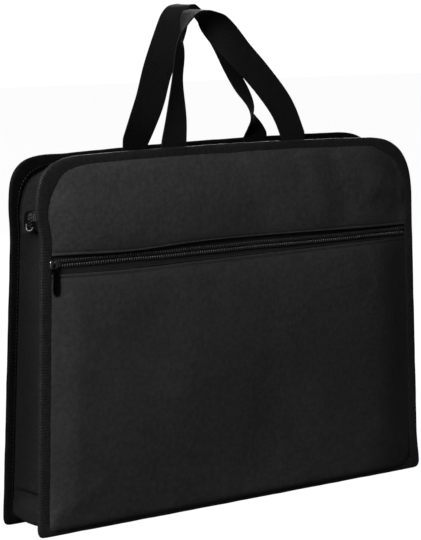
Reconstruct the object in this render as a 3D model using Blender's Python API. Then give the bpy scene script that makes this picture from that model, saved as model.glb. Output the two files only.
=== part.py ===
"""A zipped portfolio case of black cloth: two bound panels on a gusset, a pocket and two web handles.

Metres, +X to the right seen from the front, front towards -Y, +Z up. The origin is on the ground, under
the middle of the case. Depth into a wall is counted from the outer face of its edge binding.
"""

import math

import bmesh
import bpy
import numpy as np
from mathutils import Matrix, Vector

FRONT = -1
BACK = 1
LEFT = -1
RIGHT = 1

# Overall sizes, over the bindings
CASE_HEIGHT = 0.300
WIDTH_BOTTOM = 0.402
WIDTH_TOP = 0.388
DEPTH_BOTTOM = 0.055
DEPTH_TOP = 0.045
TOP_RADIUS = 0.052
BOTTOM_RADIUS = 0.012
TOP_ARCH = 0.0035
ARC_STEPS = 10
TOP_STEPS = 12

# Clear space left between layers that touch in the real case
GAP = 0.0003

# Cloth and board
BINDING_WIDTH = 0.010
BINDING_LEG = 0.008
BINDING_CLOTH = 0.0005
PANEL_CLOTH = 0.0006
GUSSET_CLOTH = 0.0005
LINING_CLOTH = 0.0004
BOARD = 0.0008
SEAM_INSET = 0.0013
GUSSET_INSET = 0.0092
INNER_INSET = 0.0100
BOARD_INSET = 0.0125
GUSSET_TOP = 0.2385
BOTTOM_TURN_UP = 0.028

# Zip chain, used for the mouth and for the pocket
TAPE = 0.0004
TAPE_WIDTH = 0.0125
COIL_WIDTH = 0.0024
COIL_HEIGHT = 0.0015
COIL_SLOT = 0.0014
POCKET_ZIP_HEIGHT = 0.217
POCKET_MOUTH = 0.0134
MOUTH_ZIP_HEIGHT = 0.2567
FACING_OVERLAP = 0.0060
FLAP_LEFT = -0.152
FLAP_RIGHT = 0.160
END_BEND_RADIUS = 0.004
END_DROP = 0.0085
END_TAIL_WIDTH = 0.020
END_OVERHANG = 0.0050
STOP_CLOTH_GAP = 0.0004
STOP_WALL = 0.0008
STOP_LENGTH = 0.0040

# Sliders and pulls
SLIDER_LENGTH = 0.0096
SLIDER_WIDTH = 0.0074
SLIDER_PLATE = 0.0009
SLIDER_FOOT = 0.0005
SLIDER_NECK = 0.0008
SLIDER_NECK_LENGTH = 0.0036
SLIDER_OVERHANG = 0.0034
ARCH_LENGTH = 0.0022
ARCH_WALL = 0.0006
ARCH_OPENING = 0.0022
PULL_THICKNESS = 0.0009
PULL_EYE_LENGTH = 0.0046
PULL_BAR = 0.0009
POCKET_PULL_LENGTH = 0.0240
MOUTH_PULL_LENGTH = 0.0190
PULL_WIDTH = 0.0066

# Handles
WEB_WIDTH = 0.0254
WEB_THICKNESS = 0.0014
HANDLE_SPAN = 0.126
HANDLE_ROOT_RISE = 0.0060
HANDLE_END_LENGTH = 0.030
FRONT_HANDLE_RISE = 0.1105
BACK_HANDLE_RISE = 0.1165
FRONT_HANDLE_CENTRE = 0.0007
BACK_HANDLE_CENTRE = -0.0150
HANDLE_LEAN = 0.0030
HANDLE_STEPS = 44

# A handle's middle line: place along the half span, share of its rise, share of its lean, and the
# turn in degrees of the web's width about the upright, from one sewn end to the other.
FRONT_ROUTE = (
    (-1.00, 0.00, 0.00, 0.0),
    (-0.96, 0.18, 0.09, 12.0),
    (-0.935, 0.46, 0.27, 33.0),
    (-0.89, 0.66, 0.45, 36.0),
    (-0.85, 0.80, 0.64, 48.0),
    (-0.72, 0.965, 0.91, 80.0),
    (-0.58, 1.00, 1.00, 95.0),
    (-0.42, 0.96, 1.00, 115.0),
    (-0.26, 0.87, 0.95, 150.0),
    (0.08, 0.68, 0.77, 176.0),
    (0.39, 0.51, 0.55, 180.0),
    (0.69, 0.32, 0.27, 180.0),
    (0.86, 0.18, 0.14, 180.0),
    (1.00, 0.00, 0.00, 180.0),
)
BACK_ROUTE = (
    (-1.00, 0.00, 0.00, 0.0),
    (-0.87, 0.16, 0.09, -10.0),
    (-0.76, 0.31, 0.18, -17.0),
    (-0.66, 0.52, 0.36, -20.0),
    (-0.54, 0.80, 0.64, -38.0),
    (-0.41, 0.96, 0.91, -75.0),
    (-0.27, 1.00, 0.95, -92.0),
    (-0.11, 0.975, 0.95, -98.0),
    (0.10, 0.88, 0.91, -98.0),
    (0.37, 0.68, 0.73, -98.0),
    (0.57, 0.50, 0.55, -98.0),
    (0.76, 0.345, 0.32, -100.0),
    (0.885, 0.235, 0.18, -114.0),
    (0.94, 0.145, 0.09, -132.0),
    (0.98, 0.06, 0.05, -160.0),
    (1.00, 0.00, 0.00, -180.0),
)

# Depths of each layer's faces, from the outer face of the binding inwards
PANEL_FACE = BINDING_CLOTH + GAP
PANEL_REAR = PANEL_FACE + PANEL_CLOTH
TAPE_FACE = PANEL_REAR + GAP
TAPE_REAR = TAPE_FACE + TAPE
FLANGE_FACE = TAPE_REAR + GAP
FLANGE_REAR = FLANGE_FACE + GUSSET_CLOTH
INNER_LEG_FACE = FLANGE_REAR + GAP
BINDING_DEPTH = INNER_LEG_FACE + BINDING_CLOTH
POCKET_BACK_FACE = TAPE_REAR + GAP + SLIDER_FOOT + GAP
POCKET_BACK_REAR = POCKET_BACK_FACE + LINING_CLOTH
BOARD_FACE = POCKET_BACK_REAR + GAP
BOARD_REAR = BOARD_FACE + BOARD
LINING_FACE = BOARD_REAR + GAP
LINING_REAR = LINING_FACE + LINING_CLOTH
WEB_FACE = LINING_REAR + GAP
WEB_MIDDLE = WEB_FACE + WEB_THICKNESS / 2
COIL_REAR = TAPE_FACE - GAP
COIL_FACE = COIL_REAR - COIL_HEIGHT


def clear_scene():
    for item in list(bpy.data.objects):
        bpy.data.objects.remove(item, do_unlink=True)


def make_material(name, color, roughness, metallic=0.0):
    material = bpy.data.materials.new(name)
    material.use_nodes = True
    shader = material.node_tree.nodes["Principled BSDF"]
    shader.inputs["Base Color"].default_value = (*color, 1.0)
    shader.inputs["Roughness"].default_value = roughness
    shader.inputs["Metallic"].default_value = metallic
    return material


def make_object(name, points, faces, material):
    """A mesh object from points and faces, with its faces turned outwards."""
    mesh = bpy.data.meshes.new(name)
    mesh.from_pydata([tuple(point) for point in points], [], faces)
    shell = bmesh.new()
    shell.from_mesh(mesh)
    bmesh.ops.recalc_face_normals(shell, faces=shell.faces)
    shell.to_mesh(mesh)
    shell.free()
    mesh.materials.append(material)
    item = bpy.data.objects.new(name, mesh)
    bpy.context.scene.collection.objects.link(item)
    return item


def make_helper(item):
    item.hide_render = True
    item.display_type = "WIRE"


def add_boolean(item, other, operation):
    modifier = item.modifiers.new(f"{operation} {other.name}", "BOOLEAN")
    modifier.operation = operation
    modifier.object = other


def make_pivot(name, place):
    pivot = bpy.data.objects.new(name, None)
    pivot.location = place
    bpy.context.scene.collection.objects.link(pivot)
    return pivot


def attach(item, pivot):
    """Parents the item to the pivot and leaves it where it is."""
    item.parent = pivot
    item.matrix_parent_inverse = Matrix.Translation(pivot.location).inverted()


# The shape of the case


def half_width(height):
    """Half the width over the bindings at a height: the case narrows in a straight line to the top."""
    return (WIDTH_BOTTOM + (WIDTH_TOP - WIDTH_BOTTOM) * height / CASE_HEIGHT) / 2


def half_depth(height):
    """Half the depth over the bindings at a height: the walls lean in a straight line to the top."""
    return (DEPTH_BOTTOM + (DEPTH_TOP - DEPTH_BOTTOM) * height / CASE_HEIGHT) / 2


def on_wall(x, z, depth, side):
    return Vector((x, side * (half_depth(z) - depth), z))


def arc(centre_x, centre_z, radius, start_deg, end_deg):
    angles = np.radians(np.linspace(start_deg, end_deg, ARC_STEPS + 1))
    return [
        (centre_x + radius * math.cos(a), centre_z + radius * math.sin(a))
        for a in angles
    ]


def arched(x, z):
    """Raises the top edge by a parabola that is highest in the middle."""
    share = max(0.0, z / CASE_HEIGHT - 0.5) * 2
    return z + TOP_ARCH * share * (1 - (2 * x / WIDTH_TOP) ** 2)


def bottom_line(inset, turn_up):
    """From the left side at the turn-up, round the two bottom corners, to the right side."""
    radius = BOTTOM_RADIUS - inset
    low = half_width(BOTTOM_RADIUS) - inset
    up = half_width(turn_up) - inset
    points = [(-up, turn_up)]
    points += arc(-low + radius, inset + radius, radius, 180, 270)
    points += arc(low - radius, inset + radius, radius, 270, 360)
    points.append((up, turn_up))
    return points


def outline(inset):
    """The closed line that stays an inset inside the case's outer edge, from the left side down and round."""
    straight_top = CASE_HEIGHT - TOP_RADIUS
    radius = TOP_RADIUS - inset
    wide = half_width(straight_top) - inset
    points = bottom_line(inset, straight_top)[:-1]
    points += arc(wide - radius, straight_top, radius, 0, 90)
    top = CASE_HEIGHT - inset
    for share in np.linspace(0, 1, TOP_STEPS + 1)[1:-1]:
        points.append(((wide - radius) * (1 - 2 * share), top))
    points += arc(-wide + radius, straight_top, radius, 90, 180)[:-1]
    return [(x, arched(x, z)) for x, z in points]


def cut_level(points, level, keep_above):
    """The part of a closed line above or below a level, closed along that level."""
    kept = []
    for (x0, z0), (x1, z1) in zip(points, points[1:] + points[:1], strict=True):
        inside = (z0 >= level) == keep_above
        if inside:
            kept.append((x0, z0))
        if inside != ((z1 >= level) == keep_above):
            share = (level - z0) / (z1 - z0)
            kept.append((x0 + (x1 - x0) * share, level))
    return kept


def prism(front, rear):
    """Points and faces of the solid between two matching closed loops."""
    count = len(front)
    faces = [list(range(count)), list(range(2 * count - 1, count - 1, -1))]
    for i in range(count):
        j = (i + 1) % count
        faces.append([i, j, count + j, count + i])
    return list(front) + list(rear), faces


def wall_layer(name, line, face, rear, side, material):
    """A flat layer of a leaning wall, between two depths."""
    points, faces = prism(
        [on_wall(x, z, face, side) for x, z in line],
        [on_wall(x, z, rear, side) for x, z in line],
    )
    return make_object(name, points, faces, material)


def swept(rings, closed):
    """Points and faces of a section carried along a path, one ring of points at each station."""
    section = len(rings[0])
    stations = len(rings)
    points = [point for ring in rings for point in ring]
    faces = []
    for i in range(stations if closed else stations - 1):
        here = i * section
        following = ((i + 1) % stations) * section
        for k in range(section):
            m = (k + 1) % section
            faces.append([here + k, here + m, following + m, following + k])
    if not closed:
        last = (stations - 1) * section
        faces.append(list(range(section)))
        faces.append([last + k for k in range(section - 1, -1, -1)])
    return points, faces


def strip_with_slot(top, bottom, kept):
    """A bent strip between two grids of points; kept says which cells of the grid are cloth."""
    rows, columns = len(top), len(top[0])
    used = {}
    points = []
    faces = []

    def index(grid, i, k):
        key = (grid is top, i, k)
        if key not in used:
            used[key] = len(points)
            points.append(grid[i][k])
        return used[key]

    for i in range(rows - 1):
        for k in range(columns - 1):
            if not kept(i, k):
                continue
            corners = ((i, k), (i + 1, k), (i + 1, k + 1), (i, k + 1))
            beside = ((i, k - 1), (i + 1, k), (i, k + 1), (i - 1, k))
            faces.append([index(top, *corner) for corner in corners])
            faces.append([index(bottom, *corner) for corner in reversed(corners)])
            for edge, (a, b) in enumerate(beside):
                if 0 <= a < rows - 1 and 0 <= b < columns - 1 and kept(a, b):
                    continue
                start, end = corners[edge], corners[(edge + 1) % 4]
                faces.append(
                    [index(top, *end), index(top, *start), index(bottom, *start), index(bottom, *end)]
                )
    return points, faces


# Panels, lining, boards and binding


def make_front_wall(cloth, pocket_cloth, lining, board):
    mouth_top = POCKET_ZIP_HEIGHT + POCKET_MOUTH / 2
    mouth_bottom = POCKET_ZIP_HEIGHT - POCKET_MOUTH / 2
    edge = outline(SEAM_INSET)
    yoke = cut_level(edge, mouth_top, keep_above=True)
    pocket = cut_level(edge, mouth_bottom, keep_above=False)
    wall_layer("front_yoke_panel", yoke, PANEL_FACE, PANEL_REAR, FRONT, cloth)
    wall_layer("front_pocket_panel", pocket, PANEL_FACE, PANEL_REAR, FRONT, pocket_cloth)
    make_inner_layers("front", FRONT, lining, board)
    wall_layer(
        "pocket_back_panel", outline(INNER_INSET), POCKET_BACK_FACE, POCKET_BACK_REAR, FRONT, lining
    )


def make_back_wall(cloth, lining, board):
    wall_layer("back_panel", outline(SEAM_INSET), PANEL_FACE, PANEL_REAR, BACK, cloth)
    make_inner_layers("back", BACK, lining, board)


def make_inner_layers(wall, side, lining, board):
    wall_layer(f"{wall}_board", outline(BOARD_INSET), BOARD_FACE, BOARD_REAR, side, board)
    wall_layer(f"{wall}_lining", outline(INNER_INSET), LINING_FACE, LINING_REAR, side, lining)


def make_binding(name, side, material):
    """A tape folded over the edge of a wall, all the way round it."""
    cloth = BINDING_CLOTH
    section = (
        (0.0, 0.0),
        (BINDING_WIDTH, 0.0),
        (BINDING_WIDTH, cloth),
        (cloth, cloth),
        (cloth, BINDING_DEPTH - cloth),
        (BINDING_LEG, BINDING_DEPTH - cloth),
        (BINDING_LEG, BINDING_DEPTH),
        (0.0, BINDING_DEPTH),
    )
    lines = [outline(inset) for inset, _ in section]
    rings = [
        [on_wall(*line[i], depth, side) for line, (_, depth) in zip(lines, section, strict=True)]
        for i in range(len(lines[0]))
    ]
    make_object(name, *swept(rings, closed=True), material)


def gusset_section():
    """A channel: a web between the walls, with a flange turned out along each one."""
    cloth = GUSSET_CLOTH
    outer = SEAM_INSET
    inner = GUSSET_INSET
    return (
        (outer, FLANGE_FACE, FRONT),
        (inner, FLANGE_FACE, FRONT),
        (inner, FLANGE_FACE, BACK),
        (outer, FLANGE_FACE, BACK),
        (outer, FLANGE_REAR, BACK),
        (inner - cloth, FLANGE_REAR, BACK),
        (inner - cloth, FLANGE_REAR, FRONT),
        (outer, FLANGE_REAR, FRONT),
    )


def make_side_gusset(name, side, material):
    low = BOTTOM_TURN_UP + GAP
    rings = [
        [
            on_wall(side * (half_width(z) - inset), z, depth, wall)
            for inset, depth, wall in gusset_section()
        ]
        for z in (low, GUSSET_TOP)
    ]
    make_object(name, *swept(rings, closed=False), material)


def make_bottom_gusset(material):
    section = gusset_section()
    lines = [bottom_line(inset, BOTTOM_TURN_UP) for inset, _, _ in section]
    rings = [
        [
            on_wall(*line[i], depth, wall)
            for line, (_, depth, wall) in zip(lines, section, strict=True)
        ]
        for i in range(len(lines[0]))
    ]
    make_object("bottom_gusset", *swept(rings, closed=False), material)


# Zips


def box_between(name, low, high, material):
    """A straight bar between two opposite corners."""
    (x0, y0, z0), (x1, y1, z1) = low, high
    lower = [(x0, y0, z0), (x1, y0, z0), (x1, y1, z0), (x0, y1, z0)]
    upper = [(x0, y0, z1), (x1, y0, z1), (x1, y1, z1), (x0, y1, z1)]
    return make_object(name, *prism(lower, upper), material)


def pocket_strip(name, z_low, z_high, face, rear, end_inset, material):
    """A strip across the front wall, level, from one side seam to the other."""
    line = [
        (-half_width(z_low) + end_inset, z_low),
        (half_width(z_low) - end_inset, z_low),
        (half_width(z_high) - end_inset, z_high),
        (-half_width(z_high) + end_inset, z_high),
    ]
    wall_layer(name, line, face, rear, FRONT, material)


def make_pocket_zip(tape, coil):
    middle = POCKET_ZIP_HEIGHT
    inner = COIL_SLOT / 2
    for name, way in (("upper", 1), ("lower", -1)):
        tape_ends = sorted((middle + way * inner, middle + way * TAPE_WIDTH))
        coil_ends = sorted((middle + way * inner, middle + way * (inner + COIL_WIDTH)))
        pocket_strip(f"pocket_tape_{name}", *tape_ends, TAPE_FACE, TAPE_REAR, SEAM_INSET, tape)
        pocket_strip(
            f"pocket_coil_{name}", *coil_ends, COIL_FACE, COIL_REAR, BINDING_WIDTH + GAP, coil
        )


def mouth_edge():
    """How far from the middle plane the linings stand at the height of the mouth zip."""
    return half_depth(MOUTH_ZIP_HEIGHT) - LINING_REAR


def flap_axis(side):
    """The line that a zip flap swings about: just inside its lining, level with its cloth."""
    return Vector((0.0, side * (mouth_edge() - 2 * GAP), mouth_tape_top() + LINING_CLOTH))


def mouth_tape_top():
    return MOUTH_ZIP_HEIGHT - COIL_HEIGHT / 2 - GAP


def make_zip_flap(name, side, facing, tape, coil):
    """The half of the mouth that lifts when the zip is open: a cloth facing, a tape and its coil."""
    hinge = flap_axis(side)
    top = mouth_tape_top()
    tape_outer = COIL_SLOT / 2 + TAPE_WIDTH
    parts = (
        ("facing", facing, hinge.y * side - GAP, tape_outer - FACING_OVERLAP, top + GAP, LINING_CLOTH),
        ("tape", tape, tape_outer, COIL_SLOT / 2, top - TAPE, TAPE),
        ("coil", coil, COIL_SLOT / 2 + COIL_WIDTH, COIL_SLOT / 2, top + GAP, COIL_HEIGHT),
    )
    pivot = make_pivot(f"{name}_flap_pivot", hinge)
    for part, material, outer, inner, base, thickness in parts:
        y_low, y_high = sorted((side * outer, side * inner))
        item = box_between(
            f"{name}_zip_{part}",
            (FLAP_LEFT, y_low, base),
            (FLAP_RIGHT, y_high, base + thickness),
            material,
        )
        attach(item, pivot)


def end_line(side, level):
    """The side view of a zip's sewn end: level, then bent down over the gusset to hang."""
    start = (FLAP_LEFT if side == LEFT else FLAP_RIGHT) + side * GAP
    reach = side * (half_width(MOUTH_ZIP_HEIGHT) - END_OVERHANG)
    radius = END_BEND_RADIUS + level
    bend_x = reach - side * END_BEND_RADIUS
    bend_z = mouth_tape_top() - END_BEND_RADIUS
    line = [(start, bend_z + radius), (slot_end(side), bend_z + radius)]
    for angle in np.radians(np.linspace(90, 0, 7)):
        line.append((bend_x + side * radius * math.cos(angle), bend_z + radius * math.sin(angle)))
    line.append((line[-1][0], bend_z - END_DROP))
    return line


def slot_end(side):
    """Where the slider's slot stops, past the place where the slider stands at that end."""
    return slider_stand(side) + side * (SLIDER_NECK_LENGTH / 2 + GAP)


def slider_stand(side):
    """The middle of the mouth's slider when it is at this end of its travel."""
    past_flap = SLIDER_LENGTH / 2 + 2 * GAP
    if side == RIGHT:
        return FLAP_RIGHT + past_flap
    return FLAP_LEFT - MOUTH_PULL_LENGTH - PULL_BAR - GAP


def make_zip_end(name, side, material, half_widths, bottom, thickness):
    """One end of the mouth's zip, fixed to the case, slotted as far as the slider runs."""
    outer = sorted({-w for w in half_widths} | set(half_widths))
    top = [[Vector((x, y, z)) for y in outer] for x, z in end_line(side, bottom + thickness)]
    base = [[Vector((x, y, z)) for y in outer] for x, z in end_line(side, bottom)]
    middle = len(outer) // 2 - 1
    wings = {0, len(outer) - 2} if len(outer) > 4 else set()

    def kept(row, column):
        if row == 0:
            return column != middle
        return column not in wings

    make_object(name, *strip_with_slot(top, base, kept), material)


def make_zip_ends(tape, coil, metal):
    slot = COIL_SLOT / 2
    tail = END_TAIL_WIDTH / 2
    for name, side in (("left", LEFT), ("right", RIGHT)):
        wide = mouth_edge() - GAP
        make_zip_end(f"{name}_zip_end", side, tape, (slot, tail, wide), -TAPE, TAPE)
        make_zip_end(f"{name}_coil_end", side, coil, (slot, slot + COIL_WIDTH), GAP, COIL_HEIGHT)
        make_zip_stop(f"{name}_zip_stop", side, metal)


def make_zip_stop(name, side, material):
    """A metal staple round the hanging end of the zip, closed at the bottom."""
    outer_x = end_line(side, GAP + COIL_HEIGHT)[-1][0] + side * STOP_CLOTH_GAP
    inner_x = end_line(side, -TAPE)[-1][0] - side * STOP_CLOTH_GAP
    low = end_line(side, 0.0)[-1][1] - STOP_CLOTH_GAP
    half = COIL_SLOT / 2 + COIL_WIDTH
    high = low + STOP_LENGTH
    wall = STOP_WALL
    line = [
        (outer_x + side * wall, high),
        (outer_x + side * wall, low - wall),
        (inner_x - side * wall, low - wall),
        (inner_x - side * wall, high),
        (inner_x, high),
        (inner_x, low),
        (outer_x, low),
        (outer_x, high),
    ]
    points, faces = prism(
        [Vector((x, -half, z)) for x, z in line], [Vector((x, half, z)) for x, z in line]
    )
    make_object(name, points, faces, material)


# Sliders and pulls are drawn about their own middle: u along the zip, v across it, w out of it


def slider_plan():
    """Seen from above: wide shoulders at the nose, a narrower tail."""
    half = SLIDER_LENGTH / 2
    wide = SLIDER_WIDTH / 2
    narrow = wide * 0.72
    return (
        (-half, -wide * 0.45),
        (-half * 0.72, -wide),
        (-half * 0.10, -wide),
        (half * 0.85, -narrow),
        (half, -narrow * 0.7),
        (half, narrow * 0.7),
        (half * 0.85, narrow),
        (-half * 0.10, wide),
        (-half * 0.72, wide),
        (-half, wide * 0.45),
    )


def make_slider(name, frame, heights, arch_across, foot_from, material):
    """A plate over the coils, a neck in their slot, a foot behind the tapes and an arch for the pull.

    heights holds the plate's underside and the foot's two faces, along w.
    """
    plate_low, foot_high, foot_low = heights
    plate_high = plate_low + SLIDER_PLATE
    plan = slider_plan()
    lower = [frame @ Vector((u, v, plate_low)) for u, v in plan]
    upper = [frame @ Vector((u, v, plate_high)) for u, v in plan]
    slider = make_object(name, *prism(lower, upper), material)

    overlap = SLIDER_PLATE / 2
    neck = SLIDER_NECK / 2
    foot = SLIDER_WIDTH / 2 * 0.72
    foot_line = (
        (-neck, plate_low + overlap),
        (-neck, foot_high),
        (-foot, foot_high),
        (-foot, foot_low),
        (foot, foot_low),
        (foot, foot_high),
        (neck, foot_high),
        (neck, plate_low + overlap),
    )
    near, far = foot_from, foot_from + SLIDER_NECK_LENGTH
    base = make_object(
        f"{name}_foot",
        *prism(
            [frame @ Vector((near, v, w)) for v, w in foot_line],
            [frame @ Vector((far, v, w)) for v, w in foot_line],
        ),
        material,
    )

    half = ARCH_OPENING / 2
    wall = ARCH_WALL
    top = plate_high + ARCH_OPENING
    arch_line = (
        (-half - wall, plate_high - overlap),
        (-half - wall, top),
        (-half, top + wall),
        (half, top + wall),
        (half + wall, top),
        (half + wall, plate_high - overlap),
        (half, plate_high - overlap),
        (half, top),
        (-half, top),
        (-half, plate_high - overlap),
    )

    def turned(a, b, w):
        return frame @ Vector((b, a, w) if arch_across else (a, b, w))

    reach = ARCH_LENGTH / 2
    arch = make_object(
        f"{name}_arch",
        *prism(
            [turned(a, -reach, w) for a, w in arch_line],
            [turned(a, reach, w) for a, w in arch_line],
        ),
        material,
    )
    for helper in (base, arch):
        make_helper(helper)
        add_boolean(slider, helper, "UNION")
    return slider


def make_pull(name, frame, length, material):
    """A flat tab that hangs along -v from a bar at the middle, with an eye round the slider's arch."""
    half = PULL_WIDTH / 2
    bar = PULL_BAR / 2
    eye_half = ARCH_LENGTH / 2 + 2 * GAP
    collar = eye_half + PULL_BAR
    eye_low = -PULL_EYE_LENGTH
    line = [
        (-collar, bar),
        (-collar, eye_low),
        (-half, eye_low - PULL_BAR),
        (-half, -length + half * 0.6),
        (-half * 0.6, -length),
        (half * 0.6, -length),
        (half, -length + half * 0.6),
        (half, eye_low - PULL_BAR),
        (collar, eye_low),
        (collar, bar),
    ]
    thick = PULL_THICKNESS / 2
    tab = make_object(
        name,
        *prism(
            [frame @ Vector((u, v, -thick)) for u, v in line],
            [frame @ Vector((u, v, thick)) for u, v in line],
        ),
        material,
    )
    eye = [(-eye_half, -bar), (-eye_half, eye_low), (eye_half, eye_low), (eye_half, -bar)]
    cutter = make_object(
        f"{name}_eye",
        *prism(
            [frame @ Vector((u, v, -2 * thick)) for u, v in eye],
            [frame @ Vector((u, v, 2 * thick)) for u, v in eye],
        ),
        material,
    )
    make_helper(cutter)
    add_boolean(tab, cutter, "DIFFERENCE")
    return tab


def axes_frame(origin, u, v, w):
    """The matrix that puts a piece drawn in u, v, w at an origin with those directions."""
    columns = Matrix((u, v, w)).transposed().to_4x4()
    return Matrix.Translation(origin) @ columns


def pocket_lean():
    """The way out of the front wall, and the way up it."""
    slope = (DEPTH_BOTTOM - DEPTH_TOP) / 2 / CASE_HEIGHT
    up = Vector((0.0, slope, 1.0)).normalized()
    return up.cross(Vector((1.0, 0.0, 0.0))) * -1, up


def make_pocket_slider(metal, pull_metal):
    out, up = pocket_lean()
    x = -half_width(POCKET_ZIP_HEIGHT) + BINDING_WIDTH - SLIDER_OVERHANG + SLIDER_LENGTH / 2
    origin = on_wall(x, POCKET_ZIP_HEIGHT, 0.0, FRONT)
    along = Vector((1.0, 0.0, 0.0))
    frame = axes_frame(origin, along, up, out)
    plate_low = -COIL_FACE + GAP
    heights = (plate_low, -TAPE_REAR - GAP, -TAPE_REAR - GAP - SLIDER_FOOT)
    foot_from = SLIDER_OVERHANG - SLIDER_LENGTH / 2 + GAP
    slider = make_slider("pocket_slider", frame, heights, True, foot_from, metal)
    bar = frame @ Vector((0.0, 0.0, plate_low + SLIDER_PLATE + ARCH_OPENING / 2))
    pull_frame = axes_frame(bar, along, up, out)
    pull = make_pull("pocket_pull", pull_frame, POCKET_PULL_LENGTH, pull_metal)
    slider_pivot = make_pivot("pocket_slider_pivot", origin)
    pull_pivot = make_pivot("pocket_pull_pivot", bar)
    attach(slider, slider_pivot)
    attach(pull, pull_pivot)


def make_mouth_slider(metal, pull_metal):
    along = Vector((-1.0, 0.0, 0.0))
    across = Vector((0.0, -1.0, 0.0))
    out = Vector((0.0, 0.0, 1.0))
    top = mouth_tape_top()
    origin = Vector((slider_stand(RIGHT), 0.0, top))
    frame = axes_frame(origin, along, across, out)
    plate_low = GAP + COIL_HEIGHT + GAP
    heights = (plate_low, -TAPE - GAP, -TAPE - GAP - SLIDER_FOOT)
    slider = make_slider("mouth_slider", frame, heights, False, -SLIDER_NECK_LENGTH / 2, metal)
    bar = frame @ Vector((0.0, 0.0, plate_low + SLIDER_PLATE + ARCH_OPENING / 2))
    pull_frame = axes_frame(bar, across, along, out)
    pull = make_pull("mouth_pull", pull_frame, MOUTH_PULL_LENGTH, pull_metal)
    attach(slider, make_pivot("mouth_slider_pivot", origin))
    attach(pull, make_pivot("mouth_pull_pivot", bar))


# Handles


def handle_root_height():
    return CASE_HEIGHT + HANDLE_ROOT_RISE


def handle_axis(side):
    """The line over the bound top edge that a handle folds down about."""
    return Vector((0.0, side * (half_depth(CASE_HEIGHT) - BINDING_DEPTH / 2), handle_root_height()))


def smooth_route(route, steps):
    """Points on a Catmull-Rom curve through the route's own points, evenly spread over its stretches."""
    table = np.array(route, float)
    padded = np.vstack((2 * table[0] - table[1], table, 2 * table[-1] - table[-2]))
    places = np.linspace(0, len(table) - 1, steps + 1)
    before = np.minimum(places.astype(int), len(table) - 2)
    t = (places - before)[:, None]
    a, b, c, d = (padded[before + k] for k in range(4))
    return 0.5 * (
        2 * b + (c - a) * t + (2 * a - 5 * b + 4 * c - d) * t**2 + (3 * b - a - 3 * c + d) * t**3
    )


def make_handle(name, side, route, centre, rise, material):
    """A web arch from one sewn end to the other, turning on itself as soft webbing does."""
    stations = smooth_route(route, HANDLE_STEPS)
    root_y = half_depth(CASE_HEIGHT) - WEB_MIDDLE
    low = handle_root_height()
    middle = np.column_stack(
        (
            centre + stations[:, 0] * HANDLE_SPAN / 2,
            side * (root_y - stations[:, 2] * HANDLE_LEAN),
            low + stations[:, 1] * (rise + CASE_HEIGHT - low),
        )
    )
    middle[[0, -1], 2] = low
    tangent = np.gradient(middle, axis=0)
    tangent[0] = (0.0, 0.0, 1.0)
    tangent[-1] = (0.0, 0.0, -1.0)
    tangent /= np.linalg.norm(tangent, axis=1, keepdims=True)
    turn = np.radians(stations[:, 3])
    across = np.column_stack((np.cos(turn), np.sin(turn), np.zeros(len(turn))))
    across -= tangent * np.sum(across * tangent, axis=1, keepdims=True)
    across /= np.linalg.norm(across, axis=1, keepdims=True)
    through = np.cross(tangent, across)
    w = across * WEB_WIDTH / 2
    t = through * WEB_THICKNESS / 2
    rings = np.stack((middle - w - t, middle + w - t, middle + w + t, middle - w + t), axis=1)
    handle = make_object(name, *swept([list(ring) for ring in rings], closed=False), material)
    attach(handle, make_pivot(f"{name}_pivot", handle_axis(side)))


def make_handle_ends(name, side, centre, material):
    """The two stretches of web that are sewn flat inside the top of a wall."""
    root_y = side * (half_depth(CASE_HEIGHT) - WEB_MIDDLE)
    high = handle_root_height() - 3 * GAP
    half = WEB_WIDTH / 2
    thick = WEB_THICKNESS / 2
    shift = side * (half_depth(high - HANDLE_END_LENGTH) - half_depth(high))
    for end, way in (("left", LEFT), ("right", RIGHT)):
        x = centre + way * HANDLE_SPAN / 2
        line = [(x - half, high), (x + half, high), (x + half, high - HANDLE_END_LENGTH)]
        line.append((x - half, high - HANDLE_END_LENGTH))
        moves = (0.0, 0.0, shift, shift)
        points, faces = prism(
            [Vector((px, root_y - thick + move, pz)) for (px, pz), move in zip(line, moves)],
            [Vector((px, root_y + thick + move, pz)) for (px, pz), move in zip(line, moves)],
        )
        make_object(f"{name}_end_{end}", points, faces, material)


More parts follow.
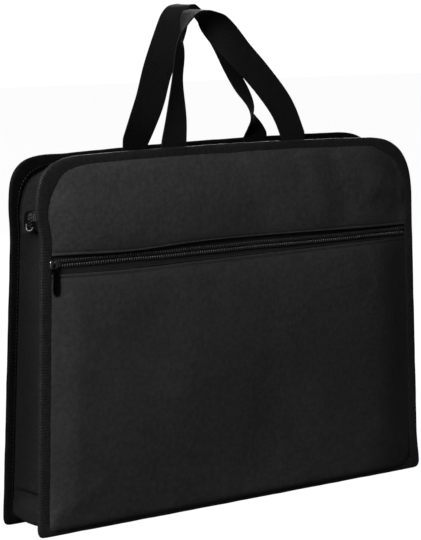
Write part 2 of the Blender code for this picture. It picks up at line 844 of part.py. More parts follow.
def main():
    clear_scene()
    cloth = make_material("case_cloth", (0.016, 0.016, 0.017), 0.72)
    pocket_cloth = make_material("pocket_cloth", (0.016, 0.016, 0.017), 0.72)
    gusset_cloth = make_material("gusset_cloth", (0.014, 0.014, 0.015), 0.78)
    lining = make_material("lining_cloth", (0.020, 0.020, 0.021), 0.80)
    binding = make_material("binding_tape", (0.022, 0.022, 0.023), 0.62)
    board = make_material("board", (0.050, 0.050, 0.052), 0.55)
    zip_tape = make_material("zip_tape", (0.018, 0.018, 0.019), 0.80)
    coil = make_material("zip_coil", (0.030, 0.030, 0.032), 0.35)
    metal = make_material("slider_metal", (0.42, 0.42, 0.43), 0.30, 1.0)
    pull_metal = make_material("pull_metal", (0.06, 0.06, 0.065), 0.38, 1.0)
    web = make_material("handle_web", (0.020, 0.020, 0.021), 0.75)

    make_front_wall(cloth, pocket_cloth, lining, board)
    make_back_wall(cloth, lining, board)
    make_side_gusset("left_gusset", LEFT, gusset_cloth)
    make_side_gusset("right_gusset", RIGHT, gusset_cloth)
    make_bottom_gusset(gusset_cloth)
    make_binding("front_binding", FRONT, binding)
    make_binding("back_binding", BACK, binding)

    make_pocket_zip(zip_tape, coil)
    make_pocket_slider(metal, pull_metal)
    make_zip_flap("front", FRONT, lining, zip_tape, coil)
    make_zip_flap("back", BACK, lining, zip_tape, coil)
    make_zip_ends(zip_tape, coil, metal)
    make_mouth_slider(metal, pull_metal)

    handles = (
        ("front_handle", FRONT, FRONT_ROUTE, FRONT_HANDLE_CENTRE, FRONT_HANDLE_RISE),
        ("back_handle", BACK, BACK_ROUTE, BACK_HANDLE_CENTRE, BACK_HANDLE_RISE),
    )
    for name, side, route, centre, rise in handles:
        make_handle(name, side, route, centre, rise, web)
        make_handle_ends(name, side, centre, web)


main()
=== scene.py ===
"""A zipped portfolio case of black cloth, with a flat pocket in front and two web handles.

Metres, +X to the right seen from the front, the front towards -Y, +Z up. Depth into a wall is counted
from the outer face of its edge tape.
"""

import logging
import math
from collections.abc import Sequence
from dataclasses import dataclass, field, replace
from enum import Enum, IntEnum

import bpy
import numpy as np
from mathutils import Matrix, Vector


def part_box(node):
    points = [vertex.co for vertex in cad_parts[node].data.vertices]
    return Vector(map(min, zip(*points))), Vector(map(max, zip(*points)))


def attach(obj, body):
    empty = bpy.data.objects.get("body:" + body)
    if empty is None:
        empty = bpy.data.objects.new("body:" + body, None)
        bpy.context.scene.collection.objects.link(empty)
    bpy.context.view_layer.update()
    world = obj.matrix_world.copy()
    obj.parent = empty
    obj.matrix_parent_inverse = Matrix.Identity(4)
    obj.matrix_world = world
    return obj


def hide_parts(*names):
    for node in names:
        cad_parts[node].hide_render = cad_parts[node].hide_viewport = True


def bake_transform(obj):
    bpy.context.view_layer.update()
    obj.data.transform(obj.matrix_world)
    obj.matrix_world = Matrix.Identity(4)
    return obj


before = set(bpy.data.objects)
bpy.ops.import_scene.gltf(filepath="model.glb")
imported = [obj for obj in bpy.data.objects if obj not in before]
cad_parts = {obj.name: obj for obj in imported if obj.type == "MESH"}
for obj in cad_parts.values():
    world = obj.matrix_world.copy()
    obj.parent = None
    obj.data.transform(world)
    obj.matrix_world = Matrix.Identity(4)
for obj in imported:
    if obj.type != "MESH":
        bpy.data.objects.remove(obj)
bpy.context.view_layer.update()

Array = np.ndarray
MM = 0.001
UV_NAME = "cloth"
ALONG_X = np.array([1.0, 0.0, 0.0])
ALONG_Y = np.array([0.0, 1.0, 0.0])
UP = np.array([0.0, 0.0, 1.0])
# Span in object Y over which painted light makes a cloth lighter towards the front wall.
PAINTED_LIGHT_SPAN = (0.025, -0.025)
# Span in object X over which painted shade darkens a cloth towards its right end.
PAINTED_SHADE_SPAN = (0.130, 0.170)
log = logging.getLogger("portfolio_case")


class Wall(IntEnum):
    """The two large walls, by the way they face along Y."""

    FRONT = -1
    BACK = 1

    @property
    def label(self) -> str:
        """The wall's plain name."""
        return "front" if self is Wall.FRONT else "back"

    @property
    def out(self) -> Array:
        """The way that the wall faces."""
        return float(self) * ALONG_Y


class End(IntEnum):
    """The two ends of the case, by their way along X."""

    LEFT = -1
    RIGHT = 1

    @property
    def label(self) -> str:
        """The end's plain name."""
        return "left" if self is End.LEFT else "right"


class Pattern(Enum):
    """The ways that a woven finish is laid out."""

    PLAIN = "plain"
    RIBBED = "ribbed"
    WEBBING = "webbing"


# Meshes


@dataclass
class Surface:
    """Points, four-cornered faces, and the cloth coordinates of each face corner in metres."""

    points: Array
    quads: Array
    uv: Array

    @staticmethod
    def joined(parts: "Sequence[Surface]") -> "Surface":
        """All the parts as one surface, unmerged.

        Args:
            parts: the surfaces, each closed in itself.

        Returns:
            One surface that holds them all.
        """
        starts = np.cumsum([0] + [len(part.points) for part in parts[:-1]])
        return Surface(
            np.concatenate([part.points for part in parts]),
            np.concatenate([part.quads + start for part, start in zip(parts, starts, strict=True)]),
            np.concatenate([part.uv for part in parts]),
        )

    def outward(self) -> "Surface":
        """The same surface with its faces turned outwards, by the sign of the volume that it encloses.

        Returns:
            This surface, or a copy with every face turned round.
        """
        a, b, c, d = (self.points[self.quads[:, k]] for k in range(4))
        volume = np.sum(a * np.cross(b, c)) + np.sum(a * np.cross(c, d))
        if volume >= 0:
            return self
        return Surface(self.points, self.quads[:, ::-1], self.uv[:, ::-1])


def lattice(rows: int, columns: int) -> tuple[Array, Array]:
    """Rows and columns of the four corners of each cell of a grid of points.

    Args:
        rows: rows of points.
        columns: columns of points.

    Returns:
        Two arrays of cells by four, the corners' rows and columns, in turning order.
    """
    r, c = np.meshgrid(np.arange(rows - 1), np.arange(columns - 1), indexing="ij")
    r, c = r.reshape(-1, 1), c.reshape(-1, 1)
    return r + np.array([[0, 1, 1, 0]]), c + np.array([[0, 0, 1, 1]])


def cap_quads(sides: int) -> Array:
    """Four-cornered faces that fill a convex loop with an even number of sides, fanned from its first point."""
    first = np.arange(1, sides - 2, 2)
    return np.column_stack((np.zeros_like(first), first, first + 1, first + 2))


def sweep(rings: Array, along: Array, across: Array, closed: bool = False) -> Surface:
    """A section carried along a path: ring after ring of points, joined in order.

    Args:
        rings: stations by section points by 3; the section is a closed loop.
        along: cloth coordinate at each station, and once more for the join if closed.
        across: cloth coordinate at each section point, and once more for the join.
        closed: whether the last ring joins the first. Open ends are filled.

    Returns:
        The closed surface, facing outwards.
    """
    stations, sides = rings.shape[:2]
    r, c = lattice(stations + int(closed), sides + 1)
    quads = (r % stations) * sides + c % sides
    uv = np.stack((across[c], along[r]), axis=2)
    if not closed:
        cap = cap_quads(sides)
        last = cap[:, ::-1] + (stations - 1) * sides
        ends = np.stack((across[cap], np.full(cap.shape, along[0])), axis=2)
        quads = np.concatenate((quads, cap, last))
        uv = np.concatenate((uv, ends, ends))
    return Surface(rings.reshape(-1, 3), quads, uv).outward()


def cloth_shell(outer: Array, inner: Array, uv: Array) -> Surface:
    """A sheet with a thickness: two grids of points, joined round their edges.

    Args:
        outer: rows by columns by 3, the shown face.
        inner: the same, for the rear face.
        uv: rows by columns by 2, cloth coordinates in metres.

    Returns:
        The closed surface, facing outwards.
    """
    rows, columns = outer.shape[:2]
    r, c = lattice(rows, columns)
    face = r * columns + c
    ids = np.arange(rows * columns).reshape(rows, columns)
    ring = np.concatenate((ids[0, :-1], ids[:-1, -1], ids[-1, :0:-1], ids[:0:-1, 0]))
    following = np.roll(ring, -1)
    count = rows * columns
    rim = np.column_stack((ring, following, following + count, ring + count))
    quads = np.concatenate((face, face[:, ::-1] + count, rim))
    flat = np.concatenate((uv.reshape(-1, 2),) * 2)
    points = np.concatenate((outer.reshape(-1, 3), inner.reshape(-1, 3)))
    return Surface(points, quads, flat[quads]).outward()


def repeated(base: Surface, origins: Array, axes: Array) -> Surface:
    """Copies of a small surface: each point is the origin plus its three numbers times the three axes.

    Args:
        base: the small surface, drawn about its own middle.
        origins: copies by 3.
        axes: copies by 3 by 3, the directions of the base's own axes, as rows.

    Returns:
        One surface with all the copies.
    """
    count, size = len(origins), len(base.points)
    points = origins[:, None, :] + np.einsum("pk,nkj->npj", base.points, axes)
    quads = base.quads[None] + (np.arange(count) * size)[:, None, None]
    uv = np.broadcast_to(base.uv, (count, *base.uv.shape))
    return Surface(points.reshape(-1, 3), quads.reshape(-1, 4), uv.reshape(-1, 4, 2)).outward()


def step(low: float, high: float, value: Array) -> Array:
    """A smooth rise from 0 at low to 1 at high: 3 t squared less 2 t cubed."""
    t = np.clip((np.asarray(value, float) - low) / (high - low), 0.0, 1.0)
    return t * t * (3 - 2 * t)


def lengths_along(line: Array) -> Array:
    """The distance along a line of points at each of them."""
    steps = np.linalg.norm(np.diff(line, axis=0), axis=1)
    return np.concatenate(([0.0], np.cumsum(steps)))


def sampled(where: Array, place: Array, values: Array) -> Array:
    """The three columns of values, read off in straight lines between their places."""
    return np.column_stack([np.interp(where, place, values[:, k]) for k in range(3)])


def rounded(value: Array, power: float) -> Array:
    """A signed power: a circle's sine and cosine turned so draw a rounded box, squarer as the power falls."""
    return np.sign(value) * np.abs(value) ** power


def round_turn(count: int) -> Array:
    """Angles of evenly spread points round a whole turn, in radians."""
    return np.arange(count) * 2 * math.pi / count


def unit(vectors: Array) -> Array:
    """The vectors at length one."""
    return vectors / np.linalg.norm(vectors, axis=-1, keepdims=True)


def tube_section(sides: int) -> Array:
    """Points of a circle of radius one, as sine and cosine."""
    turn = round_turn(sides)
    return np.column_stack((np.cos(turn), np.sin(turn)))


def tube(path: Array, radius: Array, up: Array, sides: int = 8, flat: float = 1.0) -> Surface:
    """A rod along a path: a circle at each point, square to the path, squeezed along up by flat.

    Args:
        path: points by 3.
        radius: the radius at each point.
        up: a direction that is never along the path.
        sides: points round the rod, an even number.
        flat: height of the section over its width.

    Returns:
        The closed surface.
    """
    tangent = unit(np.gradient(path, axis=0))
    across = unit(np.cross(tangent, up))
    over = np.cross(across, tangent)
    circle = tube_section(sides)
    offset = across[:, None, :] * circle[None, :, :1] + over[:, None, :] * circle[None, :, 1:] * flat
    rings = path[:, None, :] + offset * np.asarray(radius, float)[:, None, None]
    round_it = np.linspace(0, 2 * math.pi * float(np.max(radius)), sides + 1)
    return sweep(rings, lengths_along(path), round_it)


def pill(length: float, width: float, height: float, sides: int = 6) -> Surface:
    """A short rounded thread: five rings that swell from each tip to the middle.

    Args:
        length: its size along the thread.
        width: its size across.
        height: its size out of the cloth.
        sides: points round it, an even number.

    Returns:
        The closed thread, along its own first axis.
    """
    place = np.array([-0.5, -0.38, 0.0, 0.38, 0.5]) * length
    swell = np.array([0.35, 0.85, 1.0, 0.85, 0.35])
    circle = tube_section(sides)
    rings = np.zeros((5, sides, 3))
    rings[:, :, 0] = place[:, None]
    rings[:, :, 1] = swell[:, None] * circle[None, :, 0] * width / 2
    rings[:, :, 2] = swell[:, None] * circle[None, :, 1] * height / 2
    return sweep(rings, place + length / 2, np.linspace(0, width * 3, sides + 1))


def stitch_run(line: Array, out: Array, pitch: float, gauge: float = 0.45 * MM, fill: float = 0.72) -> Surface:
    """A row of stitches along a line, each laid on the surface.

    Args:
        line: points by 3 that the thread follows.
        out: the way out of the cloth, one vector or one for each point of the line.
        pitch: length of a stitch with its gap.
        gauge: thickness of the thread.
        fill: share of the pitch that a stitch takes.

    Returns:
        All the stitches as one surface.
    """
    place = lengths_along(line)
    count = max(2, int(place[-1] / pitch))
    where = (np.arange(count) + 0.5) * place[-1] / count
    origins = sampled(where, place, line)
    along = unit(sampled(where + pitch / 4, place, line) - sampled(where - pitch / 4, place, line))
    normal = sampled(where, place, np.broadcast_to(out, line.shape))
    normal = unit(normal - along * np.sum(normal * along, axis=1, keepdims=True))
    slant = unit(along + 0.12 * np.cross(normal, along))
    axes = np.stack((slant, np.cross(normal, slant), normal), axis=1)
    return repeated(pill(pitch * fill, gauge * 1.25, gauge), origins, axes)


def make_piece(
    name: str,
    surface: Surface,
    finish: "Finish",
    body: str = "case",
    stands_for: Sequence[str] = (),
    sharp: float = 58.0,
) -> bpy.types.Object:
    """Turns a surface into a finished piece that rides on a body.

    Args:
        name: the piece's name.
        surface: its closed surface, in the row frame.
        finish: what it is made of.
        body: the CAD body that it rides on, or an empty word for none.
        stands_for: the CAD nodes that it replaces.
        sharp: the angle in degrees past which an edge is shaded sharp.

    Returns:
        The object.
    """
    mesh = bpy.data.meshes.new(name)
    mesh.vertices.add(len(surface.points))
    mesh.vertices.foreach_set("co", surface.points.astype(np.float32).ravel())
    mesh.loops.add(surface.quads.size)
    mesh.loops.foreach_set("vertex_index", surface.quads.astype(np.int32).ravel())
    mesh.polygons.add(len(surface.quads))
    mesh.polygons.foreach_set("loop_start", np.arange(len(surface.quads), dtype=np.int32) * 4)
    mesh.update(calc_edges=True)
    layer = mesh.uv_layers.new(name=UV_NAME)
    layer.uv.foreach_set("vector", surface.uv.astype(np.float32).ravel())
    mesh.shade_smooth()
    mesh.set_sharp_from_angle(angle=math.radians(sharp))
    mesh.materials.append(finish.material())
    piece = bpy.data.objects.new(name, mesh)
    bpy.context.scene.collection.objects.link(piece)
    if stands_for:
        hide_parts(*stands_for)
    if body:
        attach(piece, body)
    log.info("%s: %d faces, %s", name, len(surface.quads), finish.name)
    return piece


# Finishes


class NodeDesk:
    """Lays out and links the shader nodes of one material."""

    def __init__(self, name: str) -> None:
        """Starts a material with its Principled shader.

        Args:
            name: the material's name.
        """
        self.material = bpy.data.materials.new(name)
        self.material.use_nodes = True
        self.tree = self.material.node_tree
        self.shader = self.tree.nodes["Principled BSDF"]

    def node(self, kind: str, **settings: object) -> bpy.types.Node:
        """A new node with these settings.

        Args:
            kind: the node's type.
            settings: its attributes by name.

        Returns:
            The node.
        """
        made = self.tree.nodes.new(kind)
        for key, value in settings.items():
            setattr(made, key, value)
        return made

    def plug(self, socket: bpy.types.NodeSocket, value: object) -> None:
        """Links another node's socket to this one, or sets this one to a value.

        Args:
            socket: the input.
            value: another node's output, or a plain value.
        """
        if isinstance(value, bpy.types.NodeSocket):
            self.tree.links.new(value, socket)
        else:
            socket.default_value = value

    def math(self, operation: str, first: object, second: object = 0.0) -> bpy.types.NodeSocket:
        """One Math node's result.

        Args:
            operation: the node's operation.
            first: a socket or number.
            second: a socket or number.

        Returns:
            Its output.
        """
        made = self.node("ShaderNodeMath", operation=operation)
        self.plug(made.inputs[0], first)
        self.plug(made.inputs[1], second)
        return made.outputs[0]

    def noise(self, vector: object, scale: float, detail: float = 3.0) -> bpy.types.NodeSocket:
        """A cloudy value about a half.

        Args:
            vector: the coordinates.
            scale: how many clouds to a metre.
            detail: how many finer layers.

        Returns:
            Its output.
        """
        made = self.node("ShaderNodeTexNoise")
        self.plug(made.inputs["Vector"], vector)
        made.inputs["Scale"].default_value = scale
        made.inputs["Detail"].default_value = detail
        return made.outputs["Fac"]

    def object_place(self) -> bpy.types.NodeSocket:
        """Object coordinates."""
        return self.node("ShaderNodeTexCoord").outputs["Object"]

    def cloth_axes(self) -> tuple[bpy.types.NodeSocket, bpy.types.NodeSocket]:
        """Cloth coordinates in metres, across and along.

        Returns:
            Two outputs.
        """
        laid = self.node("ShaderNodeUVMap", uv_map=UV_NAME).outputs[0]
        split = self.node("ShaderNodeSeparateXYZ")
        self.plug(split.inputs[0], laid)
        return split.outputs[0], split.outputs[1]

    def stretched(self, value: object, low: float, high: float, to_low: float, to_high: float) -> object:
        """A value moved from one range to another, and kept inside it.

        Args:
            value: a socket.
            low: where the first range begins.
            high: where it ends.
            to_low: what low becomes.
            to_high: what high becomes.

        Returns:
            The moved value.
        """
        made = self.node("ShaderNodeMapRange")
        for socket, number in zip(made.inputs[:5], (value, low, high, to_low, to_high), strict=True):
            self.plug(socket, number)
        return made.outputs[0]

    def bump(self, height: object, distance: float, strength: float = 1.0, under: object = None) -> object:
        """A normal raised by a height, on top of another normal.

        Args:
            height: the height, from 0 to 1.
            distance: the depth in metres of a height of 1.
            strength: how much of it shows.
            under: the normal below, if any.

        Returns:
            The new normal.
        """
        made = self.node("ShaderNodeBump")
        made.inputs["Strength"].default_value = strength
        made.inputs["Distance"].default_value = distance
        self.plug(made.inputs["Height"], height)
        if under is not None:
            self.plug(made.inputs["Normal"], under)
        return made.outputs[0]

    def tint(self, colour: Sequence[float], share: object) -> None:
        """Sets the base colour to a colour times a share that varies over the surface.

        Args:
            colour: red, green and blue.
            share: the share, a socket.
        """
        made = self.node("ShaderNodeVectorMath", operation="SCALE")
        made.inputs[0].default_value = colour
        self.plug(made.inputs["Scale"], share)
        self.plug(self.shader.inputs["Base Color"], made.outputs[0])

    def axis(self, number: int) -> bpy.types.NodeSocket:
        """One of the three object coordinates.

        Args:
            number: 0, 1 or 2.

        Returns:
            Its output.
        """
        split = self.node("ShaderNodeSeparateXYZ")
        self.plug(split.inputs[0], self.object_place())
        return split.outputs[number]

    def gloss(self, value: object, roughness: float, less: float, more: float) -> None:
        """Lets the roughness run from a little less to a little more as a value goes from .3 to .7."""
        made = self.stretched(value, 0.3, 0.7, roughness - less, roughness + more)
        self.plug(self.shader.inputs["Roughness"], made)

    def settings(self, **values: float) -> None:
        """Sets the shader's own sockets, named with _ for a space.

        Args:
            values: the numbers by socket.
        """
        for key, value in values.items():
            socket = self.shader.inputs[key.replace("_", " ").title().replace("Ior", "IOR")]
            socket.default_value = value


@dataclass(frozen=True)
class Finish:
    """A material by name, made once."""

    name: str
    slot: str

    def material(self) -> bpy.types.Material:
        """The Blender material, made on first use under a name that the frame's own materials don't have.

        Returns:
            The material.
        """
        title = f"{self.name}_finish"
        made = bpy.data.materials.get(title)
        if made is None:
            desk = NodeDesk(title)
            self.lay_out(desk)
            made = desk.material
        return made

    def lay_out(self, desk: NodeDesk) -> None:
        """Builds the nodes."""
        raise NotImplementedError


@dataclass(frozen=True)
class Woven(Finish):
    """Cloth, tape or webbing with its threads, slubs, fading and fuzz.

    Each noise is its scale and its detail. A fold or crinkle is also its depth in metres.
    """

    colour: tuple[float, float, float] = (0.02, 0.02, 0.0202)
    pattern: Pattern = Pattern.PLAIN
    thread: tuple[float, float] = (0.42 * MM, 0.42 * MM)
    relief: float = 0.10 * MM
    roughness: float = 0.62
    specular: float = 0.30
    sheen: float = 0.06
    fade: float = 0.13
    # crown: painted shade in the hollows between threads and painted light on their tops, as a share of the
    # colour
    crown: float = 0.35
    # painted light: the colour is lighter towards the front wall and darker towards the back, by this share
    painted_front_light: float = 0.0
    # painted shade: the colour falls by this share towards the right end
    painted_end_shade: float = 0.0
    waver: float = 0.5 * MM
    waver_noise: tuple[float, float] = (90.0, 2.0)
    cloud_noise: tuple[float, float] = (12.0, 5.0)
    speck_noise: tuple[float, float] = (300.0, 4.0)
    speck_tones: tuple[float, float] = (0.84, 1.18)
    fuzz_noise: tuple[float, float] = (2600.0, 2.0)
    fold_noise: tuple[float, float] = (42.0, 4.0)
    fold_depth: float = 2.6 * MM
    crinkle_noise: tuple[float, float] = (190.0, 3.0)
    crinkle_depth: float = 0.8 * MM
    slub_scale: float = 60.0
    thread_round: float = 0.45

    def weave(self, desk: NodeDesk) -> tuple[object, object]:
        """The height of the threads: warp over weft by turns, each a rounded ridge.

        Args:
            desk: the material's nodes.

        Returns:
            The height from 0 to 1, and a slow random value over the cloth.
        """
        across, along = desk.cloth_axes()
        place = desk.object_place()
        swing = desk.math("SUBTRACT", desk.noise(place, *self.waver_noise), 0.5)
        waver = desk.math("MULTIPLY", swing, self.waver)
        across = desk.math("ADD", across, waver)
        along = desk.math("ADD", along, waver)
        warp = desk.math("SINE", desk.math("MULTIPLY", across, math.pi / self.thread[0]))
        weft = desk.math("SINE", desk.math("MULTIPLY", along, math.pi / self.thread[1]))
        ridge_warp, ridge_weft = desk.math("ABSOLUTE", warp), desk.math("ABSOLUTE", weft)
        slub = desk.noise(place, self.slub_scale)
        if self.pattern is Pattern.RIBBED:
            rib = desk.math("POWER", ridge_weft, 0.7)
            height = desk.math("MULTIPLY", rib, desk.stretched(ridge_warp, 0.0, 1.0, 0.82, 1.0))
            return height, slub
        over = desk.math("GREATER_THAN", desk.math("MULTIPLY", warp, weft), 0.0)
        tall = desk.math("MULTIPLY", ridge_warp, desk.math("POWER", ridge_weft, self.thread_round))
        wide = desk.math("MULTIPLY", ridge_weft, desk.math("POWER", ridge_warp, self.thread_round))
        mix = desk.node("ShaderNodeMix", data_type="FLOAT")
        desk.plug(mix.inputs[0], over)
        desk.plug(mix.inputs[2], wide)
        desk.plug(mix.inputs[3], tall)
        return mix.outputs[0], slub

    def lay_out(self, desk: NodeDesk) -> None:
        """Threads raise the surface and catch the light; the colour fades in soft clouds.

        The colour also carries painted shade in the hollows between threads and painted light on their tops;
        where set, it carries painted light towards the front wall and painted shade towards the right end.

        Args:
            desk: the material's nodes.
        """
        height, slub = self.weave(desk)
        place = desk.object_place()
        clouds = desk.stretched(desk.noise(place, *self.cloud_noise), 0.38, 0.62, 1 - self.fade, 1 + self.fade)
        specks = desk.stretched(desk.noise(place, *self.speck_noise), 0.40, 0.60, *self.speck_tones)
        # Painted shade and light: the colour is darker in the hollows between threads and lighter on their
        # tops.
        thread_light_and_shade = desk.stretched(height, 0.0, 1.0, 1 - self.crown, 1 + self.crown * 0.5)
        share = desk.math("MULTIPLY", desk.math("MULTIPLY", clouds, specks), thread_light_and_shade)
        # Painted light: the base colour is lighter towards the front wall and darker towards the back, as
        # though lit from the front.
        if self.painted_front_light:
            front_light_share = desk.stretched(desk.axis(1), *PAINTED_LIGHT_SPAN, 1 - self.painted_front_light, 1 + self.painted_front_light)
            share = desk.math("MULTIPLY", share, front_light_share)
        # Painted shade: the base colour darkens towards the right end, where the cloth turns away from the
        # light.
        if self.painted_end_shade:
            end_shade_share = desk.stretched(desk.axis(0), *PAINTED_SHADE_SPAN, 1.0, 1 - self.painted_end_shade)
            share = desk.math("MULTIPLY", share, end_shade_share)
        desk.tint(self.colour, share)
        fuzz = desk.noise(place, *self.fuzz_noise)
        desk.gloss(slub, self.roughness, 0.05, 0.07)
        folds = desk.bump(desk.noise(place, *self.fold_noise), self.fold_depth, 0.4)
        crinkles = desk.bump(desk.noise(place, *self.crinkle_noise), self.crinkle_depth, 0.4, folds)
        threads = desk.bump(height, self.relief, 0.8, crinkles)
        desk.plug(desk.shader.inputs["Normal"], desk.bump(fuzz, 0.05 * MM, 0.6, threads))
        desk.settings(specular_ior_level=self.specular, sheen_weight=self.sheen, sheen_roughness=0.45)


@dataclass(frozen=True)
class Moulded(Finish):
    """Nylon or board: smooth, with fine scuffs."""

    colour: tuple[float, float, float] = (0.02, 0.02, 0.021)
    roughness: float = 0.38
    specular: float = 0.5
    grain: float = 900.0

    def lay_out(self, desk: NodeDesk) -> None:
        """A grain raises the surface a little, and scuffs change its gloss.

        Args:
            desk: the material's nodes.
        """
        place = desk.object_place()
        scuffs = desk.noise(place, 120.0, 5.0)
        desk.tint(self.colour, desk.stretched(scuffs, 0.35, 0.7, 0.8, 1.25))
        desk.gloss(scuffs, self.roughness, 0.1, 0.12)
        desk.plug(desk.shader.inputs["Normal"], desk.bump(desk.noise(place, self.grain), 0.05 * MM, 0.5))
        desk.settings(specular_ior_level=self.specular)


@dataclass(frozen=True)
class Metal(Finish):
    """Plated metal, worn bright where hands rub it."""

    colour: tuple[float, float, float] = (0.36, 0.36, 0.37)
    roughness: float = 0.26

    def lay_out(self, desk: NodeDesk) -> None:
        """Fine scratches run over the plating and dull it in patches.

        Args:
            desk: the material's nodes.
        """
        place = desk.object_place()
        patches = desk.noise(place, 350.0, 4.0)
        desk.tint(self.colour, desk.stretched(patches, 0.35, 0.7, 0.8, 1.15))
        desk.gloss(patches, self.roughness, 0.07, 0.12)
        desk.plug(desk.shader.inputs["Normal"], desk.bump(desk.noise(place, 2400.0, 2.0), 0.02 * MM, 0.5))
        desk.settings(metallic=1.0)


# The case cloth and the pocket cloth both carry painted shade towards their right ends.
CASE_CLOTH = Woven("case_cloth", "case_cloth", colour=(0.0262, 0.0262, 0.0266), sheen=0.01, painted_end_shade=0.22)
# The pocket's cloth is the case cloth painted darker: painted shade that sets the pocket below the lighter
# yoke.
SHADED_POCKET_CLOTH = Woven("pocket_cloth", "case_cloth", colour=(0.0200, 0.0200, 0.0203), sheen=0.01, painted_end_shade=0.56)
GUSSET_CLOTH = Woven(
    "gusset_cloth",
    "gusset_cloth",
    colour=(0.0080, 0.0080, 0.0080),
    roughness=0.72,
    specular=0.12,
    sheen=0.02,
    # painted light: lighter towards the front wall
    painted_front_light=0.4,
)
LINING_CLOTH = Woven("lining_cloth", "lining_cloth", colour=(0.021, 0.021, 0.0214), thread=(0.3 * MM, 0.3 * MM))
BINDING_TAPE = Woven(
    "binding_tape",
    "binding_tape",
    colour=(0.0112, 0.0112, 0.0114),
    pattern=Pattern.RIBBED,
    thread=(0.6 * MM, 2.3 * MM),
    relief=0.20 * MM,
    roughness=0.46,
    specular=0.16,
    sheen=0.01,
)
# The back wall's tape is the same tape painted darker: painted shade on the back wall's edge.
SHADED_BACK_TAPE = replace(
    BINDING_TAPE,
    name="shaded_back_binding_tape",
    colour=(0.0034, 0.0034, 0.0035),
    roughness=0.55,
    specular=0.06,
    sheen=0.0,
)
ZIP_TAPE = Woven(
    "zip_tape", "zip_tape", colour=(0.0060, 0.0060, 0.0062), thread=(0.5 * MM, 0.5 * MM), relief=0.14 * MM
)
# The hanging zip ends are the zip tape painted darker: painted shade in the recess above the gussets.
SHADED_END_TAPE = replace(ZIP_TAPE, name="shaded_zip_end_tape", colour=(0.0020, 0.0020, 0.0021), specular=0.06, sheen=0.0)
FRONT_WEB = Woven(
    "front_handle_web",
    "handle_web",
    colour=(0.0042, 0.0042, 0.0042),
    pattern=Pattern.WEBBING,
    thread=(1.15 * MM, 0.85 * MM),
    relief=0.30 * MM,
    roughness=0.56,
    specular=0.10,
    sheen=0.033,
)
# The back handle's web is the front's webbing painted darker and without sheen: painted shade on the back
# handle, against the front's lighter, sheened copy.
SHADED_BACK_WEB = replace(
    FRONT_WEB,
    name="shaded_back_handle_web",
    colour=(0.0034, 0.0034, 0.0034),
    roughness=0.58,
    specular=0.07,
    sheen=0.0,
)
THREAD = Moulded("thread", "binding_tape", colour=(0.008, 0.008, 0.0083), roughness=0.55, specular=0.3)
PALE_THREAD = Moulded("pale_thread", "zip_tape", colour=(0.05, 0.05, 0.048), roughness=0.6, specular=0.2)
ZIP_COIL = Moulded("zip_coil", "zip_coil", colour=(0.018, 0.018, 0.0185), roughness=0.36, specular=0.25)
# The coil on the hanging ends is the coil painted darker: painted shade in that recess.
SHADED_END_COIL = Moulded("shaded_end_coil", "zip_coil", colour=(0.006, 0.006, 0.0062), roughness=0.4, specular=0.2)
BOARD = Moulded("board", "board", colour=(0.03, 0.03, 0.031), roughness=0.5)
SLIDER_METAL = Metal("slider_metal", "slider_metal", colour=(0.26, 0.26, 0.265), roughness=0.30)
STOP_METAL = Metal("stop_metal", "slider_metal", colour=(0.75, 0.75, 0.75), roughness=0.3)
PULL_METAL = Moulded("pull_metal", "pull_metal", colour=(0.0012, 0.0012, 0.0012), roughness=0.55, specular=0.03)


# The case's own form


